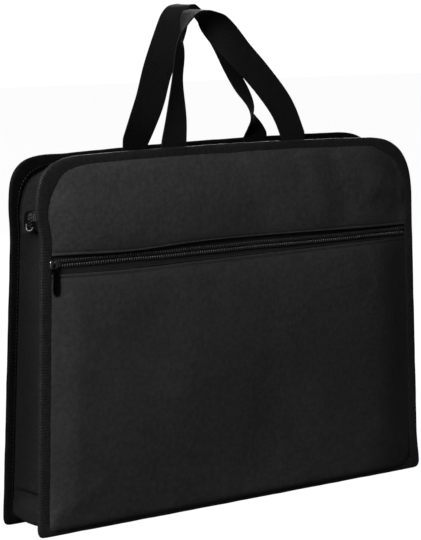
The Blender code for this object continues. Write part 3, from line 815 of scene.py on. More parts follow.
@dataclass(frozen=True)
class CaseForm:
    """The outer line of the walls and the depth of every layer in them."""

    height: float = 0.300
    width_bottom: float = 0.408
    width_top: float = 0.388
    depth_bottom: float = 0.055
    depth_top: float = 0.045
    top_radius: float = 0.052
    bottom_radius: float = 0.012
    top_arch: float = 0.0035
    flare: float = 0.0046
    corner_flare: float = 0.0022
    corner_push: tuple[float, float] = (0.0055, 0.0074)
    right_push: float = 0.0024
    foot_push: float = 0.0022
    back_tilt: float = 0.015
    lean_reach: float = 0.055
    lean_heights: tuple[float, float] = (0.232, 0.262)
    back_lean_share: float = 0.4
    foot_reach: float = 0.050
    foot_rise: float = 0.035
    tilt_heights: tuple[float, float] = (0.12, 0.29)

    def half_width(self, z: Array) -> Array:
        """Half the width over the tapes: a straight line from the bottom to the top."""
        return (self.width_bottom + (self.width_top - self.width_bottom) * z / self.height) / 2

    def half_depth(self, z: Array) -> Array:
        """Half the depth over the tapes: a straight line from the bottom to the top."""
        return (self.depth_bottom + (self.depth_top - self.depth_bottom) * z / self.height) / 2

    @property
    def shoulder(self) -> float:
        """The height at which the top corners begin."""
        return self.height - self.top_radius

    def arched(self, x: Array, z: Array) -> Array:
        """The height, raised towards the top by a parabola that is highest in the middle."""
        share = np.maximum(0.0, z / self.height - 0.5) * 2
        return z + self.top_arch * share * (1 - (2 * x / self.width_top) ** 2)

    def settled(self, x: Array, z: Array, wall: Wall) -> tuple[Array, Array]:
        """Where cloth at x, z really hangs.

        The free edge above the gusset leans out at the left. That corner and the two at the foot are
        pushed out of their arcs, and the back wall's top runs down to the left.

        Args:
            x: places across the wall.
            z: heights.
            wall: which wall it is.

        Returns:
            The places moved.
        """
        edge = step(self.lean_reach, 0.0, self.half_width(z) + x)
        lift = step(*self.lean_heights, z) * edge
        amount = self.flare if wall is Wall.FRONT else self.flare * self.back_lean_share
        corner = step(self.foot_reach, 0.0, self.half_width(z) - x) * step(self.foot_rise, 0.0, z)
        near_side = np.clip(1 - (self.half_width(z) - np.abs(x)) / self.top_radius, 0, 1)
        near_top = np.clip(1 - (self.height - z) / self.top_radius, 0, 1)
        most = np.where(x < 0, self.corner_push[0 if wall is Wall.FRONT else 1], self.right_push)
        push = 4 * (near_side * near_top) ** 2 * most
        near_end = np.clip(1 - (self.half_width(z) - np.abs(x)) / self.bottom_radius, 0, 1)
        near_foot = np.clip(1 - z / self.bottom_radius, 0, 1)
        foot = 4 * (near_end * near_foot) ** 2 * self.foot_push
        tilt = self.back_tilt * x * step(*self.tilt_heights, z) * (wall is Wall.BACK)
        shifted = x - amount * lift + self.corner_flare * corner + np.sign(x) * (push + foot)
        return shifted, np.maximum(z + push - foot + tilt, 0.0)

    def on_wall(self, x: Array, z: Array, depth: Array, wall: Wall) -> Array:
        """Points at a depth in a wall: x, the wall's half depth less the depth, and z.

        Args:
            x: places across the wall.
            z: heights.
            depth: distance in from the outer face of the edge tape.
            wall: which wall.

        Returns:
            An array with a last axis of 3.
        """
        x, z, depth = np.broadcast_arrays(np.asarray(x, float), z, depth)
        moved_x, moved_z = self.settled(x, z, wall)
        return np.stack((moved_x, wall * (self.half_depth(z) - depth), moved_z), axis=-1)

    def edge_distance(self, x: Array, z: Array, low_radius: float = 0.012) -> Array:
        """How far a point of the wall is from its outer line: from the nearest side, or from a corner's arc.

        Args:
            x: places across the wall.
            z: heights.
            low_radius: radius of the lower corners.

        Returns:
            Distances, less than nothing outside.
        """
        flat = 2 * z - self.arched(x, z)
        side = self.half_width(flat) - np.abs(x)
        near = np.minimum(np.minimum(side, self.height - flat), flat)
        for radius, rise in ((self.top_radius, self.height - flat), (low_radius, flat)):
            inside_x, inside_z = radius - side, radius - rise
            in_corner = (inside_x > 0) & (inside_z > 0)
            near = np.where(in_corner, radius - np.hypot(inside_x, inside_z), near)
        return near

    def outline(self, inset: float, spacing: float = 1.6 * MM) -> Array:
        """The closed line an inset inside the outer line, from the left side down and round.

        Args:
            inset: distance inside the outer line.
            spacing: distance between points of the outer line, which sets how many there are.

        Returns:
            Points by 2, x and z, the same number for every inset.
        """
        low, wide = self.half_width(self.bottom_radius) - inset, self.half_width(self.shoulder) - inset
        small, large = self.bottom_radius - inset, self.top_radius - inset

        def arc(x: float, z: float, radius: float, start: float) -> Array:
            """A quarter turn about a centre.

            Args:
                x: the centre across.
                z: the centre's height.
                radius: its radius.
                start: where it begins, in degrees.

            Returns:
                Its points by 2.
            """
            full = self.bottom_radius if start >= 180 else self.top_radius
            turn = np.radians(np.linspace(start, start + 90, max(6, int(full * 1.57 / spacing))))
            return np.column_stack((x + radius * np.cos(turn), z + radius * np.sin(turn)))

        def run(x0: float, z0: float, x1: float, z1: float) -> Array:
            """A straight stretch without its two ends."""
            share = np.linspace(0, 1, int(math.hypot(x1 - x0, z1 - z0) / spacing / 10) * 10 + 2)[1:-1, None]
            return np.array([[x0, z0]]) * (1 - share) + np.array([[x1, z1]]) * share

        side = (self.bottom_radius, self.shoulder)
        top = self.height - inset
        points = np.concatenate(
            (
                arc(-low + small, inset + small, small, 180),
                run(-low + small, inset, low - small, inset),
                arc(low - small, inset + small, small, 270),
                run(low, side[0], wide, side[1]),
                arc(wide - large, side[1], large, 0),
                run(wide - large, top, -wide + large, top),
                arc(-wide + large, side[1], large, 90),
                run(-wide, side[1], -low, side[0]),
            )
        )
        return np.column_stack((points[:, 0], self.arched(points[:, 0], points[:, 1])))


CASE = CaseForm()


def grid_normals(grid: Array) -> Array:
    """Unit normals of a grid of points: the cross product of its two directions."""
    return unit(np.cross(np.gradient(grid, axis=0), np.gradient(grid, axis=1)))


def gauss(value: Array, width: float) -> Array:
    """A bell of height one: e to the minus square of value over width."""
    return np.exp(-((np.asarray(value) / width) ** 2))


# Walls


@dataclass(frozen=True)
class Ridge:
    """A soft fold in a wall's cloth, raised or sunk along a straight stretch."""

    start: tuple[float, float]
    end: tuple[float, float]
    width: float
    height: float

    def at(self, x: Array, z: Array) -> Array:
        """Its height: a bell across the distance from the stretch.

        Args:
            x: places across the wall.
            z: heights.

        Returns:
            How far the fold stands out.
        """
        (x0, z0), (x1, z1) = self.start, self.end
        along = np.array([x1 - x0, z1 - z0])
        share = np.clip(((x - x0) * along[0] + (z - z0) * along[1]) / (along @ along), 0, 1)
        return self.height * gauss(np.hypot(x - x0 - share * along[0], z - z0 - share * along[1]), self.width)


@dataclass(frozen=True)
class WallCloth:
    """One stretch of cloth over a wall's board, crowned between its edges and folded under at a mouth."""

    name: str
    wall: Wall
    stands_for: str
    finish: Finish
    fold: float | None = None
    fold_below: bool = True
    fold_sag: float = 0.0
    fold_close: float = 0.0
    fullness: float = 7.4 * MM
    at_once: float = 0.58
    turn_top: float = 16 * MM
    turn_low: float = 1.9 * MM
    shoulder: float = 26 * MM
    low_share: float = 0.50
    right_at_once: float = 0.12
    right_shoulder: float = 42 * MM
    top_overlap: float = 0.0
    bead: float = 0.42 * MM
    swell: float = 0.45 * MM
    ridges: tuple[Ridge, ...] = ()
    inset: float = 1.3 * MM
    depth: float = 0.8 * MM
    cloth: float = 0.6 * MM
    covered: float = 9.6 * MM
    overhang: float = 0.0
    low_corner: float = 0.012
    right_low_corner: float = 0.012
    lip: float = 0.65 * MM
    seam_row: float = 3.0 * MM
    sag_place: float = -0.112
    sag_width: float = 0.048
    close_reach: tuple[float, float] = (-0.05, 0.19)
    right_from: tuple[float, float] = (-0.05, 0.05)
    overlap_heights: tuple[float, float] = (0.270, 0.288)
    overhang_heights: tuple[float, float] = (0.034, 0.014)
    turn_heights: tuple[float, float] = (0.012, 0.07)
    full_height: float = 0.13

    def fold_line(self, x: Array) -> Array:
        """Height of the folded edge: level, with a sag left of the middle and a slow change to the right."""
        sag = self.fold_sag * gauss(x - self.sag_place, self.sag_width)
        return self.fold + sag + self.fold_close * step(*self.close_reach, x)

    def rise(self, x: Array, z: Array) -> Array:
        """How far the cloth stands out.

        It rises from under the edge tape as 1 less e to the minus distance, more slowly from the two sides,
        and less near the foot, where it may hang over the tape. A folded edge is beaded and dented along
        its stitches. Slow swells and ridges lie on top.

        Args:
            x: places across the wall.
            z: heights.

        Returns:
            Heights above the cloth's seam.
        """
        covered = self.covered - self.top_overlap * step(*self.overlap_heights, z)
        lowered = z + self.overhang * step(*self.overhang_heights, z)
        right = step(*self.right_from, x)
        low_corner = self.low_corner + (self.right_low_corner - self.low_corner) * right
        inside = np.maximum(CASE.edge_distance(x, lowered, low_corner) - covered, 0)
        side = np.maximum(CASE.half_width(z) - np.abs(x) - self.covered, 0)
        shoulder = self.shoulder + (self.right_shoulder - self.shoulder) * right
        at_once = self.at_once + (self.right_at_once - self.at_once) * right
        slow = 1 - (1 - np.minimum(side / shoulder, 1)) ** (1.7 + 0.4 * right)
        turn = self.turn_low + (self.turn_top - self.turn_low) * step(*self.turn_heights, z)
        crown = (1 - np.exp(-inside / turn)) * (at_once + (1 - at_once) * slow)
        crown = crown * (self.low_share + (1 - self.low_share) * step(0.0, self.full_height, z))
        waves = (
            np.sin(31 * x + 17 * z + 0.6)
            + 0.8 * np.sin(-19 * x + 43 * z + 2.1)
            + 0.5 * np.sin(67 * x - 29 * z + 4.0)
        )
        height = self.fullness * crown + self.swell * waves * crown
        for ridge in self.ridges:
            height = height + ridge.at(x, z) * np.minimum(1, inside / (4 * MM))
        if self.fold is not None:
            away = np.abs(z - self.fold_line(x))
            height = height * (0.22 + 0.78 * (1 - np.exp(-away / (15 * MM))))
            round_it = 1 - np.minimum(away / self.lip, 1)
            dent = 0.28 * MM * gauss(away - self.seam_row, 0.75 * MM) - self.bead * gauss(away - MM, 0.9 * MM)
            height = height + (self.lip * np.sqrt(1 - round_it**2) - dent) * np.minimum(1, inside / MM + 0.4)
        return height

    def grid(self) -> tuple[Array, Array]:
        """Places and heights of a grid of points over the cloth.

        Columns stand at even turns of the top corners' arcs and evenly between them. Each runs from the
        cloth's lower line to its upper one, with rows closer together at a fold.

        Returns:
            x and z, each rows by columns.
        """
        wide = CASE.half_width(CASE.shoulder) - self.inset
        top_r, low_r = CASE.top_radius - self.inset, CASE.bottom_radius - self.inset
        turn = np.radians(np.linspace(0, 90, 26))[1:]
        straight = np.linspace(0, wide - top_r, 52)
        right = np.concatenate((straight, wide - top_r + top_r * np.sin(turn)))
        across = np.concatenate((-right[:0:-1], right))
        over = np.maximum(np.abs(across) - (wide - top_r), 0)
        high = CASE.shoulder + np.sqrt(np.maximum(top_r**2 - over**2, 0))
        low_x = across * (CASE.half_width(CASE.bottom_radius) - self.inset) / wide
        under = np.maximum(np.abs(low_x) - (CASE.half_width(CASE.bottom_radius) - CASE.bottom_radius), 0)
        low = CASE.bottom_radius - np.sqrt(np.maximum(low_r**2 - under**2, 0))
        share = np.linspace(0, 1, 84)[:, None]
        near_fold = np.array([0, 0.1, 0.25, 0.45, 0.7, 1.1, 1.6, 2.1, 2.6, 3.1, 3.7, 4.6])[:, None] * MM
        if self.fold is None:
            even = 0.6 * share + 0.2 * (1 - np.cos(math.pi * share))
            z = low + (high - low) * even
        elif self.fold_below:
            start = self.fold_line(across)
            beyond = near_fold[-1] + (high - start - near_fold[-1]) * (1 - (1 - share[1:]) ** 1.35)
            z = np.concatenate((start + near_fold, start + beyond))
        else:
            start = self.fold_line(across)
            beyond = near_fold[-1] + (start - low - near_fold[-1]) * (1 - (1 - share[1:]) ** 1.35)
            z = np.concatenate((start - near_fold, start - beyond))
        scale = (CASE.half_width(np.clip(z, CASE.bottom_radius, CASE.shoulder)) - self.inset) / wide
        x = across * scale
        return x, CASE.arched(x, z)

    def surface(self) -> Surface:
        """The cloth, with its thickness.

        Returns:
            The closed cloth.
        """
        x, z = self.grid()
        depth = self.depth - self.rise(x, z)
        thick = np.full(x.shape, self.cloth)
        if self.fold is not None:
            thick = thick + 0.55 * MM * np.exp(-np.abs(z - self.fold_line(x)) / (5 * MM))
        outer = CASE.on_wall(x, z, depth, self.wall)
        inner = CASE.on_wall(x, z, depth + thick, self.wall)
        return cloth_shell(outer, inner, np.stack((x, z), axis=2))

    def build(self) -> bpy.types.Object:
        """Makes the piece.

        Returns:
            The object.
        """
        piece = make_piece(self.name, self.surface(), self.finish, stands_for=[self.stands_for])
        return piece

    def stitches(self) -> Surface:
        """The row that holds the folded edge to the zip's tape.

        Returns:
            All the stitches.
        """
        x = np.linspace(-1, 1, 260) * (CASE.half_width(self.fold) - 10.5 * MM)
        z = self.fold_line(x) + (self.seam_row if self.fold_below else -self.seam_row)
        line = CASE.on_wall(x, z, self.depth - self.rise(x, z) - 0.02 * MM, self.wall)
        return stitch_run(line, self.wall.out, self.seam_row)


@dataclass
class Walls:
    """The cloth of both walls: the yoke, the pocket, its back, the back wall and the linings."""

    pocket_mouth: tuple[float, float] = (0.2090, 0.2237)
    yoke_ridges: tuple[Ridge, ...] = (
        Ridge((0.066, 0.298), (0.092, 0.232), 11 * MM, 1.5 * MM),
        Ridge((0.100, 0.290), (0.118, 0.238), 10 * MM, -1.0 * MM),
        Ridge((0.146, 0.262), (0.188, 0.248), 8 * MM, 1.8 * MM),
        Ridge((0.154, 0.246), (0.188, 0.226), 8 * MM, -1.6 * MM),
        Ridge((0.156, 0.294), (0.184, 0.272), 9 * MM, -1.4 * MM),
        Ridge((-0.172, 0.262), (-0.150, 0.236), 9 * MM, 0.8 * MM),
        Ridge((-0.120, 0.292), (-0.060, 0.262), 14 * MM, 0.9 * MM),
        Ridge((-0.010, 0.292), (0.030, 0.236), 15 * MM, -1.0 * MM),
    )
    pocket_ridges: tuple[Ridge, ...] = (
        Ridge((0.150, 0.046), (0.186, 0.022), 9 * MM, 1.5 * MM),
        Ridge((-0.172, 0.200), (-0.170, 0.030), 12 * MM, 0.8 * MM),
        Ridge((-0.184, 0.020), (-0.150, 0.034), 8 * MM, 0.8 * MM),
        Ridge((0.130, 0.206), (0.140, 0.176), 8 * MM, -0.9 * MM),
        Ridge((0.030, 0.200), (0.026, 0.030), 20 * MM, -0.8 * MM),
        Ridge((-0.060, 0.200), (-0.066, 0.030), 22 * MM, 0.7 * MM),
    )

    def build(self) -> None:
        """Makes every wall piece."""
        low, high = self.pocket_mouth
        yoke = WallCloth(
            "yoke_cloth",
            Wall.FRONT,
            "front_yoke_panel",
            CASE_CLOTH,
            fold=high,
            fold_sag=-2.4 * MM,
            fold_close=-1.2 * MM,
            top_overlap=3.2 * MM,
            ridges=self.yoke_ridges,
        )
        # The pocket takes the darker copy of the cloth, painted shade.
        pocket = WallCloth(
            "pocket_cloth",
            Wall.FRONT,
            "front_pocket_panel",
            SHADED_POCKET_CLOTH,
            fold=low,
            fold_below=False,
            fold_sag=-1.0 * MM,
            fold_close=2.6 * MM,
            fullness=8.2 * MM,
            overhang=6.2 * MM,
            low_corner=0.015,
            right_low_corner=0.028,
            ridges=self.pocket_ridges,
        )
        for cloth in (yoke, pocket):
            cloth.build()
            make_piece(f"{cloth.name}_stitches", cloth.stitches(), THREAD)
        WallCloth("back_cloth", Wall.BACK, "back_panel", CASE_CLOTH, fullness=3.4 * MM).build()
        inner = {"finish": LINING_CLOTH, "inset": 10.0 * MM, "cloth": 0.4 * MM, "fullness": 0.0, "swell": 0.0}
        for wall in Wall:
            label = wall.label
            WallCloth(f"{label}_lining_cloth", wall, f"{label}_lining", depth=5.0 * MM, **inner).build()
            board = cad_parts[f"{label}_board"]
            board.data.materials.clear()
            board.data.materials.append(BOARD.material())
        WallCloth("pocket_rear_cloth", Wall.FRONT, "pocket_back_panel", depth=3.2 * MM, **inner).build()


# Edge tapes


@dataclass(frozen=True)
class EdgeTape:
    """A ribbed tape folded over a wall's edge all the way round, and its stitching."""

    wall: Wall
    section: tuple[tuple[float, float], ...] = (
        (10.0, 0.22),
        (9.6, -0.02),
        (8.4, -0.06),
        (7.4, -0.16),
        (5.6, -0.26),
        (3.6, -0.24),
        (2.0, -0.08),
        (0.95, 0.24),
        (0.25, 0.85),
        (0.0, 1.75),
        (0.2, 2.75),
        (0.8, 3.4),
        (1.9, 3.68),
        (4.6, 3.78),
        (7.4, 3.72),
        (8.0, 3.45),
        (7.4, 3.22),
        (4.6, 3.22),
        (2.2, 3.16),
        (1.2, 2.8),
        (0.75, 1.85),
        (1.1, 0.95),
        (2.2, 0.54),
        (5.6, 0.46),
        (9.6, 0.46),
        (9.95, 0.4),
    )
    outermost: int = 9
    waver: float = 0.28 * MM
    stitch_inset: float = 7.2 * MM
    rear_stitch_inset: float = 6.6 * MM
    rear_depth: float = 3.72 * MM
    stitch_lift: float = 0.02 * MM
    pitch: float = 3.1 * MM

    def waves(self, count: int, phase: float) -> Array:
        """A slow uneven waver along the tape: three sines of whole turns round it."""
        turn = round_turn(count)
        return (np.sin(23 * turn + phase) + 0.7 * np.sin(41 * turn + 2 * phase) + 0.5 * np.sin(67 * turn)) / 2

    def rings(self) -> Array:
        """The section at every station round the wall, its free edge and its fold wavering a little.

        Returns:
            Stations by section points by 3.
        """
        base = CASE.outline(0.0)
        count = len(base)
        free, fold = self.waves(count, 0.7), self.waves(count, 2.9)
        lines = []
        for inset, depth in self.section:
            line = CASE.outline(inset * MM)
            across = (CASE.outline(inset * MM + 0.4 * MM) - line) / (0.4 * MM)
            share = self.waver * (free * step(4, 9, inset) + 0.4 * fold * step(3, 0, inset))
            line = line + across * share[:, None]
            deep = depth * MM + 0.25 * self.waver * fold * step(6, 2, inset)
            lines.append(CASE.on_wall(line[:, 0], line[:, 1], deep, self.wall))
        return np.stack(lines, axis=1)

    def build(self) -> None:
        """Makes the tape and both of its rows of stitches."""
        rings = self.rings()
        base = rings[:, self.outermost]
        along = lengths_along(np.concatenate((base, base[:1])))
        profile = np.array([*self.section, self.section[0]]) * MM
        label = self.wall.label
        tape = sweep(rings, along, lengths_along(profile), closed=True)
        # The back wall takes the darker copy of the tape, painted shade.
        finish = BINDING_TAPE if self.wall is Wall.FRONT else SHADED_BACK_TAPE
        make_piece(f"{label}_edge_tape", tape, finish, stands_for=[f"{label}_binding"])
        rows = []
        front, rear = (self.stitch_inset, -self.stitch_lift, 1), (self.rear_stitch_inset, self.rear_depth, -1)
        for inset, depth, out in (front, rear):
            line = CASE.outline(inset)
            line = np.concatenate((line, line[:1]))
            placed = CASE.on_wall(line[:, 0], line[:, 1], depth, self.wall)
            rows.append(stitch_run(placed, out * self.wall.out, self.pitch))
        make_piece(f"{label}_edge_stitches", Surface.joined(rows), THREAD)


# Gussets


@dataclass(frozen=True)
class Gussets:
    """The cloth between the walls: one strip up each side and one along the bottom, turned up at both ends."""

    top: float = 0.2385
    turn_up: float = 0.0285
    web: float = 8.9 * MM
    flange: float = 2.65 * MM
    side_bow: float = 4.6 * MM
    belly: float = 3.2 * MM
    groove: float = 3.2 * MM
    groove_width: float = 2.4 * MM
    cloth: float = 0.5 * MM

    def section(self) -> tuple[Array, Array, Array]:
        """Across the strip: the inset without bow, the share of the depth, and how much it bows.

        Returns:
            Insets, shares from -1 at the front flange to 1 at the back one, and bow shares.
        """
        flange = np.array([1.6, 3.4, 5.2, 6.8, 8.0]) * MM
        across = np.sin(np.linspace(-90, 90, 27) * math.pi / 180)
        inset = np.concatenate((flange, np.full(27, self.web), flange[::-1]))
        share = np.concatenate((np.full(5, -1.0), across, np.full(5, 1.0)))
        return inset, share, (1 - share**2) ** 0.7

    def strip(self, line_at: "Sequence[Array]", bow: Array, out: float) -> Surface:
        """A strip along a line up or round the case.

        Args:
            line_at: for each point of the section, the line's x and z at its inset.
            bow: for each station, the shift of the strip's middle outwards.
            out: which way the rear face lies, 1 or -1.

        Returns:
            The closed cloth.
        """
        inset, share, bowed = self.section()
        lines = np.stack(line_at, axis=1)
        away = np.stack([line_at[4] - line_at[3]] * len(inset), axis=1)
        away = away / np.linalg.norm(away, axis=2, keepdims=True)
        lines = lines - away * (bow[:, None] * bowed[None, :])[:, :, None]
        deep = CASE.half_depth(lines[:, :, 1]) - self.flange
        grid = np.stack((lines[:, :, 0], share[None, :] * deep, lines[:, :, 1]), axis=2)
        normal = grid_normals(grid)
        uv = np.stack(
            (
                np.broadcast_to(lengths_along(grid[len(grid) // 2]), grid.shape[:2]),
                np.broadcast_to(lengths_along(grid[:, grid.shape[1] // 2])[:, None], grid.shape[:2]),
            ),
            axis=2,
        )
        return cloth_shell(grid, grid + out * normal * self.cloth, uv)

    def side(self, end: End) -> Surface:
        """One side's strip, bowed inwards, with slow upright waves.

        Args:
            end: which side.

        Returns:
            The closed strip.
        """
        share = np.linspace(0, 1, 90)
        z = self.turn_up + 0.3 * MM + (self.top - self.turn_up - 0.3 * MM) * share**1.5
        inset, _, _ = self.section()
        lines = [np.column_stack((end * (CASE.half_width(z) - one), z)) for one in inset]
        above = z - self.turn_up
        bow = -self.side_bow * (0.72 + 0.28 * np.sin(z * 26 + 0.6 + end)) - 0.35 * MM * np.sin(z * 90 + end)
        bow = bow * (1 - 0.45 * gauss(above, 9 * MM)) - self.groove * gauss(above, self.groove_width)
        return self.strip(lines, bow, -end)

    def bottom_line(self, inset: float) -> Array:
        """The bottom strip's line at an inset: up the left side, round both corners and along the ground.

        Args:
            inset: distance inside the outer line.

        Returns:
            Points by 2, x and z.
        """
        radius = CASE.bottom_radius - inset
        low = CASE.half_width(CASE.bottom_radius) - inset
        rise = np.linspace(self.turn_up, CASE.bottom_radius, 16)
        turn = np.radians(np.linspace(180, 270, 14))
        centre = (-low + radius, inset + radius)
        corner = np.column_stack((centre[0] + radius * np.cos(turn), centre[1] + radius * np.sin(turn)))
        side = np.column_stack((-(CASE.half_width(rise) - inset), rise))
        flat = np.column_stack((np.linspace(-low + radius, 0, 60), np.full(60, inset)))
        left = np.concatenate((side[:-1], corner[:-1], flat))
        return np.concatenate((left, (left * [[-1, 1]])[::-1][1:]))

    def bottom(self) -> Surface:
        """The bottom strip, bellied outwards and drawn in where it meets the sides.

        Returns:
            The closed strip.
        """
        inset, _, _ = self.section()
        lines = [self.bottom_line(one) for one in inset]
        place = lengths_along(lines[3])
        to_end = np.minimum(place, place[-1] - place)
        drawn = self.side_bow * 0.45 * gauss(to_end, 6.5 * MM)
        drawn = drawn + self.groove * gauss(to_end, self.groove_width)
        bow = self.belly * step(0, 12 * MM, to_end) - drawn + 0.25 * MM * np.sin(place * 70)
        return self.strip(lines, bow, -1.0)

    def seam(self, end: End) -> Surface:
        """Stitches across the strip, just under the seam between a side and the bottom.

        Args:
            end: which side.

        Returns:
            The stitches.
        """
        inset, share, bowed = self.section()
        z = np.full(len(share), self.turn_up - 2.2 * MM) - 1.6 * MM * bowed
        x = end * (CASE.half_width(z) - inset - self.side_bow * 0.30 * bowed + 0.25 * MM)
        line = np.column_stack((x, share * (CASE.half_depth(z) - self.flange), z))[5:-5]
        return stitch_run(line, float(end) * ALONG_X, 2.8 * MM)

    def build(self) -> None:
        """Makes the three strips and the stitches under the sides' seams."""
        for end in End:
            name = f"{end.label}_gusset_cloth"
            piece = make_piece(name, self.side(end), GUSSET_CLOTH, stands_for=[f"{end.label}_gusset"])
            make_piece(f"{end.label}_gusset_stitches", self.seam(end), THREAD)
        piece = make_piece("bottom_gusset_cloth", self.bottom(), GUSSET_CLOTH, stands_for=["bottom_gusset"])


# Zips


def strip_cloth(line: Array, across: Array, out: Array, cloth: float) -> Surface:
    """A flat tape: a line of points, spread across to both sides, with a thickness away from its face.

    Args:
        line: points by 3, the middle of the face.
        across: offsets from the middle, as columns by 3 or points by columns by 3.
        out: the way out of the face, one vector or one for each point.
        cloth: the tape's thickness.

    Returns:
        The closed tape.
    """
    spread = np.broadcast_to(across, (len(line), *across.shape[-2:]))
    face = line[:, None, :] + spread
    outs = np.broadcast_to(out, line.shape)[:, None, :]
    sides = lengths_along(across.reshape(-1, across.shape[-2], 3)[0])
    along = lengths_along(line)
    uv = np.stack(np.broadcast_arrays(sides[None, :], along[:, None]), axis=2)
    return cloth_shell(face, face - outs * cloth, uv)


@dataclass(frozen=True)
class CoilChain:
    """One side of a zip's teeth: a nylon coil sewn along a tape's edge, each turn a bent rod."""

    pitch: float = 2.3 * MM
    width: float = 2.4 * MM
    height: float = 1.5 * MM
    wire: float = 0.46 * MM

    def turn(self) -> Surface:
        """One turn: up from the tape, over, and down to a swollen head that meets the other side's.

        Returns:
            The closed rod, about its own middle.
        """
        v = np.array([-0.52, -0.40, 0.00, 0.40, 0.62]) * self.width
        w = np.array([-0.34, 0.16, 0.24, 0.10, -0.36]) * self.height
        u = np.array([-0.10, -0.06, 0.00, 0.06, 0.08]) * self.pitch
        radius = np.array([0.8, 1.0, 1.0, 1.1, 0.9]) * self.wire
        return tube(np.column_stack((u, v, w)), radius, np.array([1.0, 0.2, 0.3]), sides=6)

    def along(self, line: Array, across: Array, out: Array, phase: float) -> Surface:
        """The turns along a line.

        Args:
            line: points by 3, the middle of this side's coil.
            across: the way to the other side's coil.
            out: the way out of the tape, one vector or one for each point.
            phase: share of a pitch that the turns are shifted by.

        Returns:
            All the turns as one surface.
        """
        place = lengths_along(line)
        where = np.arange((0.3 + phase) * self.pitch, place[-1] - 0.3 * self.pitch, self.pitch)
        origins = sampled(where, place, line)
        ways = sampled(where, place, unit(np.gradient(line, axis=0)))
        normal = sampled(where, place, np.broadcast_to(out, line.shape))
        sides = np.broadcast_to(across, origins.shape)
        return repeated(self.turn(), origins, np.stack((unit(ways), sides, unit(normal)), axis=1))


COIL = CoilChain()


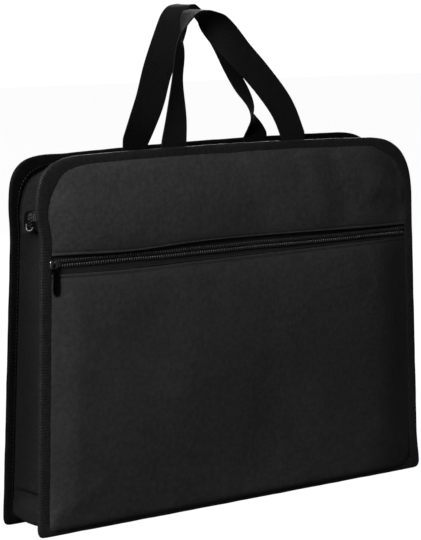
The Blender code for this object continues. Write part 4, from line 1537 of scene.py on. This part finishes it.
@dataclass(frozen=True)
class ZipRunner:
    """A zip's slider and its pull, drawn about the slider's middle: u along, v across, w out."""

    name: str
    origin: tuple[float, float, float]
    along: tuple[float, float, float]
    out: tuple[float, float, float]
    pull_out: bool
    plate_low: float
    foot_low: float
    foot_high: float
    pull_length: float
    length: float = 9.6 * MM
    width: float = 7.4 * MM
    plate: float = 1.1 * MM
    rise: float = 2.5 * MM
    arch_reach: float = 2.0 * MM
    arch_width: float = 2.2 * MM
    arch_thick: float = 0.7 * MM
    arch_sunk: float = 0.3 * MM
    bar_share: float = 0.42
    eye_half: float = 2.15 * MM
    eye_middle: float = 2.35 * MM
    eye_reach: float = 2.6 * MM
    eye_wire: float = 0.5 * MM
    tab_start: float = 4.2 * MM

    @property
    def axes(self) -> Array:
        """The directions of u, v and w, as rows."""
        u, w = np.array(self.along, float), np.array(self.out, float)
        return np.stack((u, np.cross(w, u), w))

    def placed(self, surface: Surface) -> Surface:
        """A surface drawn in u, v, w, put where the slider is."""
        return Surface(np.array(self.origin) + surface.points @ self.axes, surface.quads, surface.uv).outward()

    def loft(self, plan: Array, levels: Sequence[tuple[float, float]]) -> Surface:
        """A plate between outlines: the plan at each height, drawn in towards its middle by a share.

        Args:
            plan: the outline, points by 2.
            levels: each height with its share.

        Returns:
            The closed plate.
        """
        middle = plan.mean(axis=0)
        level = np.ones((len(plan), 1))
        rings = np.stack([np.hstack((middle + (plan - middle) * share, level * w)) for w, share in levels])
        return sweep(rings, np.arange(len(levels)) * MM, np.linspace(0, 0.02, len(plan) + 1))

    def plan(self, slim: float = 1.0) -> Array:
        """The slider from above: a rounded shield, wide at its nose and narrower at its tail.

        Args:
            slim: width over the full width.

        Returns:
            Points by 2, u and v.
        """
        turn = round_turn(32)
        u = rounded(np.cos(turn), 0.62) * self.length / 2
        half = self.width / 2 * (0.74 + 0.26 * step(0.28, -0.12, u / self.length)) * slim
        return np.column_stack((u, half * rounded(np.sin(turn), 0.55)))

    def band(self, path: Array, side: Array, wide: float, thick: float) -> Surface:
        """A flat bar with rounded edges along a path, wide along side.

        Args:
            path: points by 3, its middle.
            side: the way of its width.
            wide: its width.
            thick: its thickness.

        Returns:
            The closed bar.
        """
        tangent = unit(np.gradient(path, axis=0))
        over = np.cross(tangent, side)
        turn = round_turn(12)
        a = rounded(np.cos(turn), 0.5) * wide / 2
        b = rounded(np.sin(turn), 0.5) * thick / 2
        rings = path[:, None, :] + a[None, :, None] * side + b[None, :, None] * over[:, None, :]
        return sweep(rings, lengths_along(path), np.linspace(0, 2 * (wide + thick), 13))

    def slider(self) -> Surface:
        """The plate with its domed top, side rims, foot, neck and arch.

        Returns:
            All of it, where the slider is.
        """
        low, high = self.plate_low, self.plate_low + self.plate
        levels = ((low, 0.93), (low + 0.12 * MM, 1.0), (high - 0.4 * MM, 1.0), (high - 0.12 * MM, 0.95))
        top = self.loft(self.plan(), (*levels, (high, 0.84), (high + 0.06 * MM, 0.5)))
        sole = ((self.foot_low, 0.96), (self.foot_low + 0.1 * MM, 1.0), (self.foot_high, 1.0))
        foot = self.loft(self.plan(0.9), sole)
        post = self.plan(0.12) * np.array([0.3, 1.0]) - np.array([self.length * 0.22, 0.0])
        neck = self.loft(post, ((self.foot_low + 0.1 * MM, 1.0), (low + 0.3 * MM, 1.0)))
        turn = np.linspace(0, math.pi, 15)
        a = -self.arch_reach * rounded(np.cos(turn), 0.55)
        w = high - self.arch_sunk + (self.rise + self.arch_sunk) * np.sin(turn) ** 0.55
        zero = np.zeros_like(a)
        if self.pull_out:
            path, side = np.column_stack((zero, a, w)), ALONG_X
        else:
            path, side = np.column_stack((a, zero, w)), ALONG_Y
        arch = self.band(path, side, self.arch_width, self.arch_thick)
        return self.placed(Surface.joined([top, foot, neck, arch]))

    def pull(self) -> Surface:
        """The pull: a wire eye through the arch, and a tab that widens to a rounded end with a raised rim.

        Returns:
            Both, where the slider is.
        """
        bar_w = self.plate_low + self.plate + self.rise * self.bar_share
        down = -ALONG_Y if self.pull_out else ALONG_X
        side = ALONG_X if self.pull_out else ALONG_Y
        turn = round_turn(24)
        a = rounded(np.cos(turn), 0.5) * self.eye_half
        b = self.eye_middle + rounded(np.sin(turn), 0.5) * self.eye_reach
        loop = a[:, None] * side + b[:, None] * down + bar_w * UP
        tangent = unit(np.roll(loop, -1, axis=0) - np.roll(loop, 1, axis=0))
        outward = np.cross(tangent, UP)
        circle = tube_section(8) * self.eye_wire
        rings = loop[:, None, :] + circle[None, :, :1] * outward[:, None, :] + circle[None, :, 1:] * UP
        eye = sweep(rings, np.linspace(0, 0.02, 25), np.linspace(0, 3 * MM, 9), closed=True)
        tall = self.pull_length - self.tab_start
        turn = round_turn(40)
        b = rounded(np.cos(turn), 0.42) * tall / 2
        half = (2.65 + 0.65 * step(-0.5, 0.35, b / tall)) * MM
        a = half * rounded(np.sin(turn), 0.42)
        plan = np.column_stack((a, b + self.tab_start + tall / 2))

        def tab_ring(level: float, draw: float) -> Array:
            """The tab's outline at a height, drawn in by a distance.

            Args:
                level: height above the eye's bar.
                draw: how far it is drawn in.

            Returns:
                Points by 3, in u, v, w.
            """
            middle = np.array([0.0, self.tab_start + tall / 2])
            size = np.array([2.9 * MM, tall / 2])
            inner = middle + (plan - middle) * (1 - draw / size)
            return inner[:, :1] * side + inner[:, 1:] * down + (bar_w + level) * UP

        steps = ((0.22, 0.85), (0.42, 0.62), (0.45, 0.30), (0.33, 0.06), (0.0, 0.0))
        levels = [(h * MM, d * MM) for h, d in steps] + [(-h * MM, d * MM) for h, d in steps[-2::-1]]
        rings = np.stack([tab_ring(level, draw) for level, draw in levels])
        tab = sweep(rings, np.arange(len(levels)) * MM, np.linspace(0, 0.05, 41))
        return self.placed(Surface.joined([eye, tab]))

    def build(self) -> None:
        """Makes the slider and its pull."""
        slider, pull = f"{self.name}_slider", f"{self.name}_pull"
        make_piece(f"{slider}_metal", self.slider(), SLIDER_METAL, slider, [slider], sharp=40)
        make_piece(f"{pull}_metal", self.pull(), PULL_METAL, pull, [pull], sharp=40)


@dataclass(frozen=True)
class PocketZip:
    """The zip across the front wall: two tapes, two coils, their sewing, a slider and its pull."""

    height: float = 0.217
    tape_width: float = 12.5 * MM
    tape: float = 0.4 * MM
    tape_depth: float = 1.7 * MM
    slot: float = 0.7 * MM
    end: float = 10.3 * MM

    def level_line(self, z: float, depth: float, inset: float, count: int = 120) -> Array:
        """A level line across the front wall, with a slight waver up and down.

        Args:
            z: its height.
            depth: its depth in the wall.
            inset: its distance from both sides.
            count: how many points.

        Returns:
            Points by 3.
        """
        x = np.linspace(-1, 1, count) * (CASE.half_width(z) - inset)
        waver = 0.22 * MM * np.sin(39 * x + 1.0) + 0.12 * MM * np.sin(97 * x)
        return CASE.on_wall(x, z + waver, depth, Wall.FRONT)

    def build(self) -> None:
        """Makes the tapes, coils and runner."""
        out = Wall.FRONT.out
        threads = []
        for label, way in (("upper", 1), ("lower", -1)):
            start, stop = self.slot, self.tape_width
            middle = self.height + way * (start + stop) / 2
            line = self.level_line(middle, self.tape_depth, 1.5 * MM)
            reach = np.array([-0.5, -0.2, 0.1, 0.5]) * (stop - start)
            across = np.column_stack((np.zeros(4), np.zeros(4), reach))
            tape = strip_cloth(line, across, out, self.tape)
            name = f"pocket_tape_{label}"
            piece = make_piece(f"{name}_cloth", tape, ZIP_TAPE, stands_for=[name])
            coil_z = self.height + way * (self.slot + COIL.width / 2)
            line = self.level_line(coil_z, self.tape_depth - 0.3 * MM - COIL.height / 2, self.end, 300)
            chain = COIL.along(line, -way * UP, out, 0.25 * (1 + way))
            make_piece(f"pocket_coil_{label}_turns", chain, ZIP_COIL, stands_for=[f"pocket_coil_{label}"])
            line = self.level_line(coil_z + way * 0.35 * MM, self.tape_depth - 1.62 * MM, self.end, 300)
            threads.append(stitch_run(line, out, COIL.pitch, 0.30 * MM, 0.4))
        make_piece("pocket_coil_stitches", Surface.joined(threads), THREAD)
        low, high = (np.array(corner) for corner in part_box("pocket_slider"))
        middle = (low + high) / 2
        slope = (CASE.depth_bottom - CASE.depth_top) / 2 / CASE.height
        face = np.cross(unit(UP + slope * ALONG_Y), ALONG_X)
        face = face if face[1] < 0 else -face
        origin = (float(middle[0]), float(-CASE.half_depth(self.height)), self.height)
        ZipRunner(
            "pocket",
            origin,
            (1.0, 0.0, 0.0),
            tuple(face),
            True,
            plate_low=0.4 * MM,
            foot_low=-2.9 * MM,
            foot_high=-2.4 * MM,
            pull_length=24 * MM,
        ).build()


@dataclass(frozen=True)
class MouthZip:
    """The zip that closes the case below its top edges, on two cloth flaps, with its two hanging ends."""

    height: float = 0.2567
    left: float = -0.152
    right: float = 0.160
    tape_width: float = 13.2 * MM
    tape: float = 0.4 * MM
    slot: float = 0.7 * MM
    overlap: float = 6 * MM
    bend: float = 4 * MM
    drop: float = 8.5 * MM
    overhang: float = 5 * MM
    tail: float = 10 * MM
    coil_lift: float = 0.3 * MM
    facing_lift: float = 0.7 * MM
    facing: float = 0.4 * MM
    facing_bend: float = 3.5 * MM
    tack_pitch: float = 2.45 * MM
    tack_reach: tuple[float, float] = (-9.4 * MM, 5.0 * MM)
    tack_wire: float = 0.5 * MM
    stop_wire: float = 0.55 * MM

    @property
    def tape_top(self) -> float:
        """The height of the tapes' upper faces."""
        return self.height - COIL.height / 2 - self.coil_lift

    @property
    def edge(self) -> float:
        """How far from the middle the linings stand at this height."""
        return float(CASE.half_depth(self.height)) - 5.4 * MM

    def flap(self, wall: Wall) -> None:
        """One flap: a facing along its wall, and a tape and a coil that ride on the flap's body.

        Args:
            wall: the wall that it hangs on.
        """
        label, body = wall.label, f"{wall.label}_flap"
        x = np.linspace(self.left, self.right, 140)
        zero = np.zeros_like(x)
        hinge = self.edge - 0.6 * MM
        inner = self.tape_width - self.overlap

        def level(y: float, z: Array) -> Array:
            """A line along X on this flap's side."""
            return np.column_stack((x, zero + wall * y, z))

        sag = 0.5 * MM * np.sin(48 * x + wall) * np.sin(21 * x)
        middle = (hinge + inner) / 2 - 0.15 * MM
        reach = np.linspace(-0.5, 0.5, 9) * (hinge - inner)
        across = np.column_stack((np.zeros(9), reach * wall, np.zeros(9)))
        bulge = np.repeat(across[None], len(x), axis=0)
        bulge[:, :, 2] = sag[:, None] * np.cos(np.linspace(-0.5, 0.5, 9) * math.pi)[None, :]
        facing = strip_cloth(level(middle, zero + self.tape_top + self.facing_lift), bulge, UP, self.facing)
        piece = make_piece(f"{label}_zip_facing_cloth", facing, LINING_CLOTH, "", [f"{label}_zip_facing"])
        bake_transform(piece)
        middle = (self.slot + self.tape_width) / 2
        reach = np.array([-0.5, -0.15, 0.15, 0.5]) * (self.tape_width - self.slot)
        across = np.column_stack((np.zeros(4), reach * wall, np.zeros(4)))
        tape = strip_cloth(level(middle, zero + self.tape_top), across, UP, self.tape)
        piece = make_piece(f"{label}_zip_tape_cloth", tape, ZIP_TAPE, body, [f"{label}_zip_tape"])
        line = level(self.slot + COIL.width / 2, zero + self.tape_top + self.coil_lift + COIL.height / 2)
        chain = COIL.along(line, -wall.out, UP, 0.25 * (1 + wall))
        make_piece(f"{label}_zip_coil_turns", chain, ZIP_COIL, body, [f"{label}_zip_coil"])
        over_coil = level(self.slot + COIL.width / 2 + 0.35 * MM, line[:, 2] + 0.87 * MM)
        on_facing = level(inner + 1.5 * MM, zero + self.tape_top + 0.74 * MM + sag * 0.3)
        rows = [stitch_run(over_coil, UP, COIL.pitch, 0.34 * MM), stitch_run(on_facing, UP, 2.8 * MM)]
        make_piece(f"{label}_zip_stitches", Surface.joined(rows), THREAD, body)

    def end_path(self, end: End, level: float, count: int = 60) -> tuple[Array, Array]:
        """The side view of a sewn end: level, a quarter turn, and down to hang.

        Args:
            end: which end.
            level: height above the tape's upper face.
            count: points along it.

        Returns:
            Points and their ways out, both by 3, in the middle plane.
        """
        start = (self.left if end is End.LEFT else self.right) + end * 0.3 * MM
        reach = end * (float(CASE.half_width(self.height)) - self.overhang)
        turn_x, turn_z = reach - end * self.bend, self.tape_top - self.bend
        radius = self.bend + level
        angle = np.radians(np.linspace(90, 0, 14))
        x = np.concatenate(([start], turn_x + end * radius * np.cos(angle), [turn_x + end * radius]))
        z = np.concatenate(([turn_z + radius], turn_z + radius * np.sin(angle), [turn_z - self.drop]))
        out = np.concatenate(([90.0], np.degrees(angle), [0.0]))
        rough = np.column_stack((x, np.zeros_like(x), z))
        place = lengths_along(rough)
        even = np.linspace(0, place[-1], count)
        line = sampled(even, place, rough)
        turned = np.radians(np.interp(even, place, out))
        return line, np.column_stack((end * np.cos(turned), np.zeros(count), np.sin(turned)))

    def end_piece(self, end: End) -> None:
        """One sewn end: its cloth, its coil and the metal stop.

        Args:
            end: which end.
        """
        label = end.label
        line, out = self.end_path(end, 0.0)
        narrow = step(0, 16 * MM, lengths_along(line)[-1] - lengths_along(line) - 9 * MM)
        half = self.tail * (1 - narrow) + (self.edge - 0.3 * MM) * narrow
        parts = []
        for way in (-1, 1):
            share = np.linspace(0, 1, 6)
            y = way * (self.slot + (half[:, None] - self.slot) * share[None, :])
            across = np.stack((np.zeros_like(y), y, np.zeros_like(y)), axis=2)
            parts.append(strip_cloth(line, across, out, self.tape))
        cloth = Surface.joined(parts)
        # The end's tape is the darker copy, painted shade.
        piece = make_piece(f"{label}_zip_end_cloth", cloth, SHADED_END_TAPE, stands_for=[f"{label}_zip_end"])
        raised, out = self.end_path(end, self.coil_lift + COIL.height / 2, 120)
        chains = []
        for way in (-1, 1):
            shift = way * (self.slot + COIL.width / 2) * ALONG_Y
            chains.append(COIL.along(raised + shift, -way * ALONG_Y, out, 0.25 * (1 + way)))
        name = f"{label}_coil_end"
        # Its coil is the darker copy too, painted shade.
        make_piece(f"{name}_turns", Surface.joined(chains), SHADED_END_COIL, stands_for=[name])
        line, out = self.end_path(end, 0.25 * MM)
        place = lengths_along(line)
        bend = np.linspace(place[-1] - self.drop - 6.5 * MM, place[-1] - self.drop + 1.5 * MM, 9)
        bars = []
        for y in np.arange(*self.tack_reach, self.tack_pitch):
            path = sampled(bend, place, line) + [0.0, y, 0.0]
            face = unit(sampled(bend, place, out))
            bars.append(tube(path + face * 0.2 * MM, np.full(9, self.tack_wire), ALONG_Y, sides=6))
        make_piece(f"{label}_end_tack_stitches", Surface.joined(bars), PALE_THREAD)
        self.stop(end)

    def stop(self, end: End) -> None:
        """A bright wire across the hanging end's foot: up at the rear, along, and a short way up again.

        Args:
            end: which end.
        """
        low, high = (np.array(corner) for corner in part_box(f"{end.label}_zip_stop"))
        face = (low[0] if end is End.LEFT else high[0]) + end * 0.1 * MM
        y = np.array([2.8, 2.8, 2.7, 2.1, 0.8, -1.2, -3.2, -5.0, -6.1, -6.8]) * MM
        z = low[2] + np.array([5.4, 3.6, 1.8, 0.7, 0.3, 0.2, 0.5, 1.2, 2.3, 3.4]) * MM
        wire = np.column_stack((np.full(10, face), y, z))
        bar = tube(wire, np.full(10, self.stop_wire), ALONG_X, sides=8)
        name = f"{end.label}_zip_stop"
        make_piece(f"{name}_metal", bar, STOP_METAL, stands_for=[name], sharp=40)

    def build(self) -> None:
        """Makes both flaps, both ends and the runner."""
        for wall in Wall:
            self.flap(wall)
        for end in End:
            self.end_piece(end)
        low, high = (np.array(corner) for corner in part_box("mouth_slider"))
        ZipRunner(
            "mouth",
            (float(low[0] + high[0]) / 2, 0.0, self.tape_top),
            (-1.0, 0.0, 0.0),
            (0.0, 0.0, 1.0),
            False,
            plate_low=2.1 * MM,
            foot_low=-1.2 * MM,
            foot_high=-0.7 * MM,
            pull_length=19 * MM,
        ).build()


# Handles


@dataclass(frozen=True)
class Handle:
    """A web handle: a band that rises from one sewn end, turns on itself, and comes down to the other.

    The route holds the place along the half span, the share of the rise, the share of the lean, and the
    turn in degrees of the web's width about the upright.
    """

    wall: Wall
    centre: float
    rise: float
    route: tuple[tuple[float, float, float, float], ...]
    span: float = 0.126
    root: float = 0.306
    end_length: float = 0.030
    lean: float = 0.0030
    web_depth: float = 6.4 * MM
    width: float = 25.4 * MM
    thickness: float = 1.4 * MM
    cup: float = 0.5 * MM
    stitch_drops: tuple[float, float] = (1.5 * MM, 4.0 * MM)

    def stations(self, steps: int = 168) -> Array:
        """Points of a Catmull-Rom curve through the route's own points, evenly spread over its stretches.

        Args:
            steps: how many stretches.

        Returns:
            Points by 4, laid out as the route's.
        """
        table = np.array(self.route, float)
        padded = np.vstack((2 * table[0] - table[1], table, 2 * table[-1] - table[-2]))
        places = np.linspace(0, len(table) - 1, steps + 1)
        before = np.minimum(places.astype(int), len(table) - 2)
        t = (places - before)[:, None]
        a, b, c, d = (padded[before + k] for k in range(4))
        cubic = (2 * a - 5 * b + 4 * c - d) * t**2 + (3 * b - a - 3 * c + d) * t**3
        return 0.5 * (2 * b + (c - a) * t + cubic)

    def middle_line(self) -> tuple[Array, Array]:
        """The band's middle line with both sewn ends, and its turn in radians.

        Returns:
            Points by 3, and one turn for each.
        """
        stations = self.stations()
        y = CASE.half_depth(CASE.height) - self.web_depth - stations[:, 2] * self.lean
        arch = np.column_stack(
            (
                self.centre + stations[:, 0] * self.span / 2,
                self.wall * y,
                self.root + stations[:, 1] * (self.rise + CASE.height - self.root),
            )
        )
        z = np.linspace(self.root - self.end_length, self.root - 0.4 * MM, 14)
        y = self.wall * (CASE.half_depth(z) - self.web_depth)
        left = np.column_stack((np.full(14, arch[0, 0]), y, z))
        right = np.column_stack((np.full(14, arch[-1, 0]), y, z))[::-1]
        turn = np.radians(np.concatenate((np.zeros(14), stations[:, 3], np.full(14, stations[-1, 3]))))
        return np.concatenate((left, arch, right)), turn

    def surface(self) -> Surface:
        """The band: a flat section with round selvedges, slightly cupped, carried along the middle line.

        Returns:
            The closed band.
        """
        middle, turn = self.middle_line()
        tangent = unit(np.gradient(middle, axis=0))
        for _ in range(3):
            tangent[1:-1] = unit(tangent[:-2] + 2 * tangent[1:-1] + tangent[2:])
        across = np.column_stack((np.cos(turn), np.sin(turn), np.zeros(len(turn))))
        across = unit(across - tangent * np.sum(across * tangent, axis=1, keepdims=True))
        through = np.cross(tangent, across)
        half, thick = self.width / 2, self.thickness / 2
        flat = np.linspace(-1, 1, 13) * (half - thick)
        round_it = np.radians(np.linspace(-90, 90, 7))[1:-1]
        upper = np.column_stack((flat, np.full(13, thick)))
        right = np.column_stack((half - thick + thick * np.cos(-round_it), thick * np.sin(-round_it)))
        section = np.concatenate((upper, right, -upper, -right))
        bowed = self.cup * (1 - (section[:, 0] / half) ** 2)
        arch = np.sin(np.linspace(0, math.pi, len(middle))) ** 0.5
        lift = section[None, :, 1] + bowed[None, :] * arch[:, None]
        rings = middle[:, None, :] + section[None, :, :1] * across[:, None, :]
        rings = rings + lift[:, :, None] * through[:, None, :]
        loop = np.concatenate((section, section[:1]))
        return sweep(rings, lengths_along(middle), lengths_along(loop))

    def build(self) -> None:
        """Makes the band and the stitches that hold its sewn ends."""
        name = f"{self.wall.label}_handle"
        ends = [f"{name}_end_left", f"{name}_end_right"]
        # The back handle takes the darker copy of the webbing, painted shade.
        web = FRONT_WEB if self.wall is Wall.FRONT else SHADED_BACK_WEB
        piece = make_piece(f"{name}_webbing", self.surface(), web, "", [name, *ends])
        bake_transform(piece)
        rows = []
        for way in (-1, 1):
            for drop in self.stitch_drops:
                x = self.centre + way * self.span / 2 + np.linspace(-0.46, 0.46, 30) * self.width
                z = CASE.arched(x, np.full(30, CASE.height)) - drop
                line = CASE.on_wall(x, z, -0.30 * MM, self.wall)
                rows.append(stitch_run(line, self.wall.out, 2.6 * MM, 0.5 * MM))
        make_piece(f"{name}_stitches", Surface.joined(rows), THREAD)


FRONT_ROUTE = (
    (-1.00, 0.00, 0.00, 0.0),
    (-0.96, 0.18, 0.09, 12.0),
    (-0.935, 0.46, 0.27, 33.0),
    (-0.89, 0.66, 0.45, 36.0),
    (-0.85, 0.80, 0.64, 48.0),
    (-0.72, 0.965, 0.91, 80.0),
    (-0.58, 1.00, 1.00, 95.0),
    (-0.42, 0.96, 1.00, 115.0),
    (-0.26, 0.87, 0.95, 150.0),
    (0.08, 0.68, 0.77, 176.0),
    (0.39, 0.51, 0.55, 180.0),
    (0.69, 0.32, 0.27, 180.0),
    (0.86, 0.18, 0.14, 180.0),
    (1.00, 0.00, 0.00, 180.0),
)
BACK_ROUTE = (
    (-1.00, 0.00, 0.00, 0.0),
    (-0.87, 0.16, 0.09, -10.0),
    (-0.76, 0.31, 0.18, -17.0),
    (-0.65, 0.52, 0.36, -20.0),
    (-0.45, 0.80, 0.64, -38.0),
    (-0.35, 0.96, 0.91, -75.0),
    (-0.23, 1.00, 0.95, -92.0),
    (-0.11, 0.975, 0.95, -98.0),
    (0.10, 0.88, 0.91, -98.0),
    (0.37, 0.68, 0.73, -98.0),
    (0.57, 0.50, 0.55, -98.0),
    (0.76, 0.345, 0.32, -100.0),
    (0.885, 0.235, 0.18, -114.0),
    (0.94, 0.145, 0.09, -132.0),
    (0.98, 0.06, 0.05, -160.0),
    (1.00, 0.00, 0.00, -180.0),
)


# Studio


@dataclass(frozen=True)
class SoftLight:
    """A flat soft light, aimed at a point. Its power is in watts."""

    name: str
    place: tuple[float, float, float]
    aim: tuple[float, float, float]
    size: tuple[float, float]
    power: float

    def build(self) -> None:
        """Puts the light in the scene."""
        data = bpy.data.lights.new(self.name, "AREA")
        data.shape, data.size, data.size_y, data.energy = "RECTANGLE", self.size[0], self.size[1], self.power
        light = bpy.data.objects.new(self.name, data)
        light.location = self.place
        light.rotation_mode = "QUATERNION"
        light.rotation_quaternion = (Vector(self.aim) - Vector(self.place)).to_track_quat("-Z", "Y")
        bpy.context.scene.collection.objects.link(light)


@dataclass(frozen=True)
class Studio:
    """The camera, a plain pale floor, the sky and the soft lights. The angles are in degrees."""

    lens: float = 138.8
    azimuth: float = -37.5
    elevation: float = 7.9
    distance: float = 1.752
    target: tuple[float, float, float] = (-0.0125, 0.0, 0.1957)
    sky: float = 1.05
    glow_front: float = 0.035
    glow_back: float = 0.30
    glow_turn: tuple[float, float] = (-0.1, 0.7)
    floor_tone: float = 0.12
    floor_glow: float = 0.955
    floor_half: float = 6.0
    lights: tuple[SoftLight, ...] = field(
        default=(
            SoftLight("key_light", (-1.22, -0.78, 1.15), (-0.05, 0.0, 0.2), (0.7, 0.7), 36.0),
            SoftLight("rim_light", (-0.55, 0.9, 1.2), (-0.1, 0.0, 0.3), (0.8, 0.5), 5.0),
            SoftLight("back_light", (0.9, 1.2, 0.9), (0.0, 0.0, 0.2), (0.9, 0.9), 12.0),
        )
    )

    def camera(self) -> None:
        """Places the camera on its line to the target."""
        data = bpy.data.cameras.new("camera")
        data.lens, data.sensor_width = self.lens, 36.0
        data.clip_start, data.clip_end = 0.05, 50.0
        camera = bpy.data.objects.new("camera", data)
        a, e = math.radians(self.azimuth), math.radians(self.elevation)
        back = Vector((math.sin(a) * math.cos(e), -math.cos(a) * math.cos(e), math.sin(e)))
        camera.location = Vector(self.target) + back * self.distance
        camera.rotation_mode = "QUATERNION"
        camera.rotation_quaternion = (-back).to_track_quat("-Z", "Y")
        bpy.context.scene.collection.objects.link(camera)
        bpy.context.scene.camera = camera

    def world(self) -> None:
        """A white sky, which lights the case from behind more than from the front, and less than it shows."""
        world = bpy.data.worlds.new("sky")
        world.use_nodes = True
        tree = world.node_tree
        back = tree.nodes["Background"]
        shown = tree.nodes.new("ShaderNodeMapRange")
        rays = tree.nodes.new("ShaderNodeLightPath")
        shown.inputs["To Max"].default_value = self.sky
        tree.links.new(rays.outputs["Is Camera Ray"], shown.inputs["Value"])
        split = tree.nodes.new("ShaderNodeSeparateXYZ")
        tree.links.new(tree.nodes.new("ShaderNodeTexCoord").outputs["Generated"], split.inputs[0])
        deep = tree.nodes.new("ShaderNodeMapRange")
        deep.interpolation_type = "SMOOTHSTEP"
        ranged = (*self.glow_turn, self.glow_front, self.glow_back)
        for socket, value in zip(("From Min", "From Max", "To Min", "To Max"), ranged, strict=True):
            deep.inputs[socket].default_value = value
        tree.links.new(split.outputs["Y"], deep.inputs["Value"])
        tree.links.new(deep.outputs[0], shown.inputs["To Min"])
        tree.links.new(shown.outputs[0], back.inputs["Strength"])
        back.inputs["Color"].default_value = (1.0, 1.0, 1.0, 1.0)
        bpy.context.scene.world = world

    def floor(self) -> None:
        """A wide white floor whose glow is seen but lights nothing, so that it meets the sky without a line."""
        desk = NodeDesk("floor")
        desk.settings(roughness=0.9, specular_ior_level=0.0)
        desk.shader.inputs["Base Color"].default_value = (*(self.floor_tone,) * 3, 1.0)
        desk.shader.inputs["Emission Color"].default_value = (1.0, 1.0, 1.0, 1.0)
        seen = desk.node("ShaderNodeLightPath").outputs["Is Camera Ray"]
        desk.plug(desk.shader.inputs["Emission Strength"], desk.math("MULTIPLY", seen, self.floor_glow))
        mesh = bpy.data.meshes.new("floor")
        rim = [(x * self.floor_half, y * self.floor_half, 0.0) for x, y in ((-1, -1), (1, -1), (1, 1), (-1, 1))]
        mesh.from_pydata(rim, [], [(0, 1, 2, 3)])
        mesh.materials.append(desk.material)
        floor = bpy.data.objects.new("floor", mesh)
        bpy.context.scene.collection.objects.link(floor)

    def build(self) -> None:
        """Sets up the whole studio."""
        bpy.context.scene.view_settings.view_transform = "Standard"
        self.camera()
        self.world()
        self.floor()
        for light in self.lights:
            light.build()


def main() -> None:
    """Builds the studio and every sub-assembly in order."""
    logging.basicConfig(level=logging.INFO, format="%(message)s")
    Studio().build()
    Walls().build()
    for wall in Wall:
        EdgeTape(wall).build()
    Gussets().build()
    PocketZip().build()
    MouthZip().build()
    Handle(Wall.FRONT, 0.0007, 0.1125, FRONT_ROUTE).build()
    Handle(Wall.BACK, -0.0150, 0.1172, BACK_ROUTE).build()


if __name__ == "__main__":
    main()
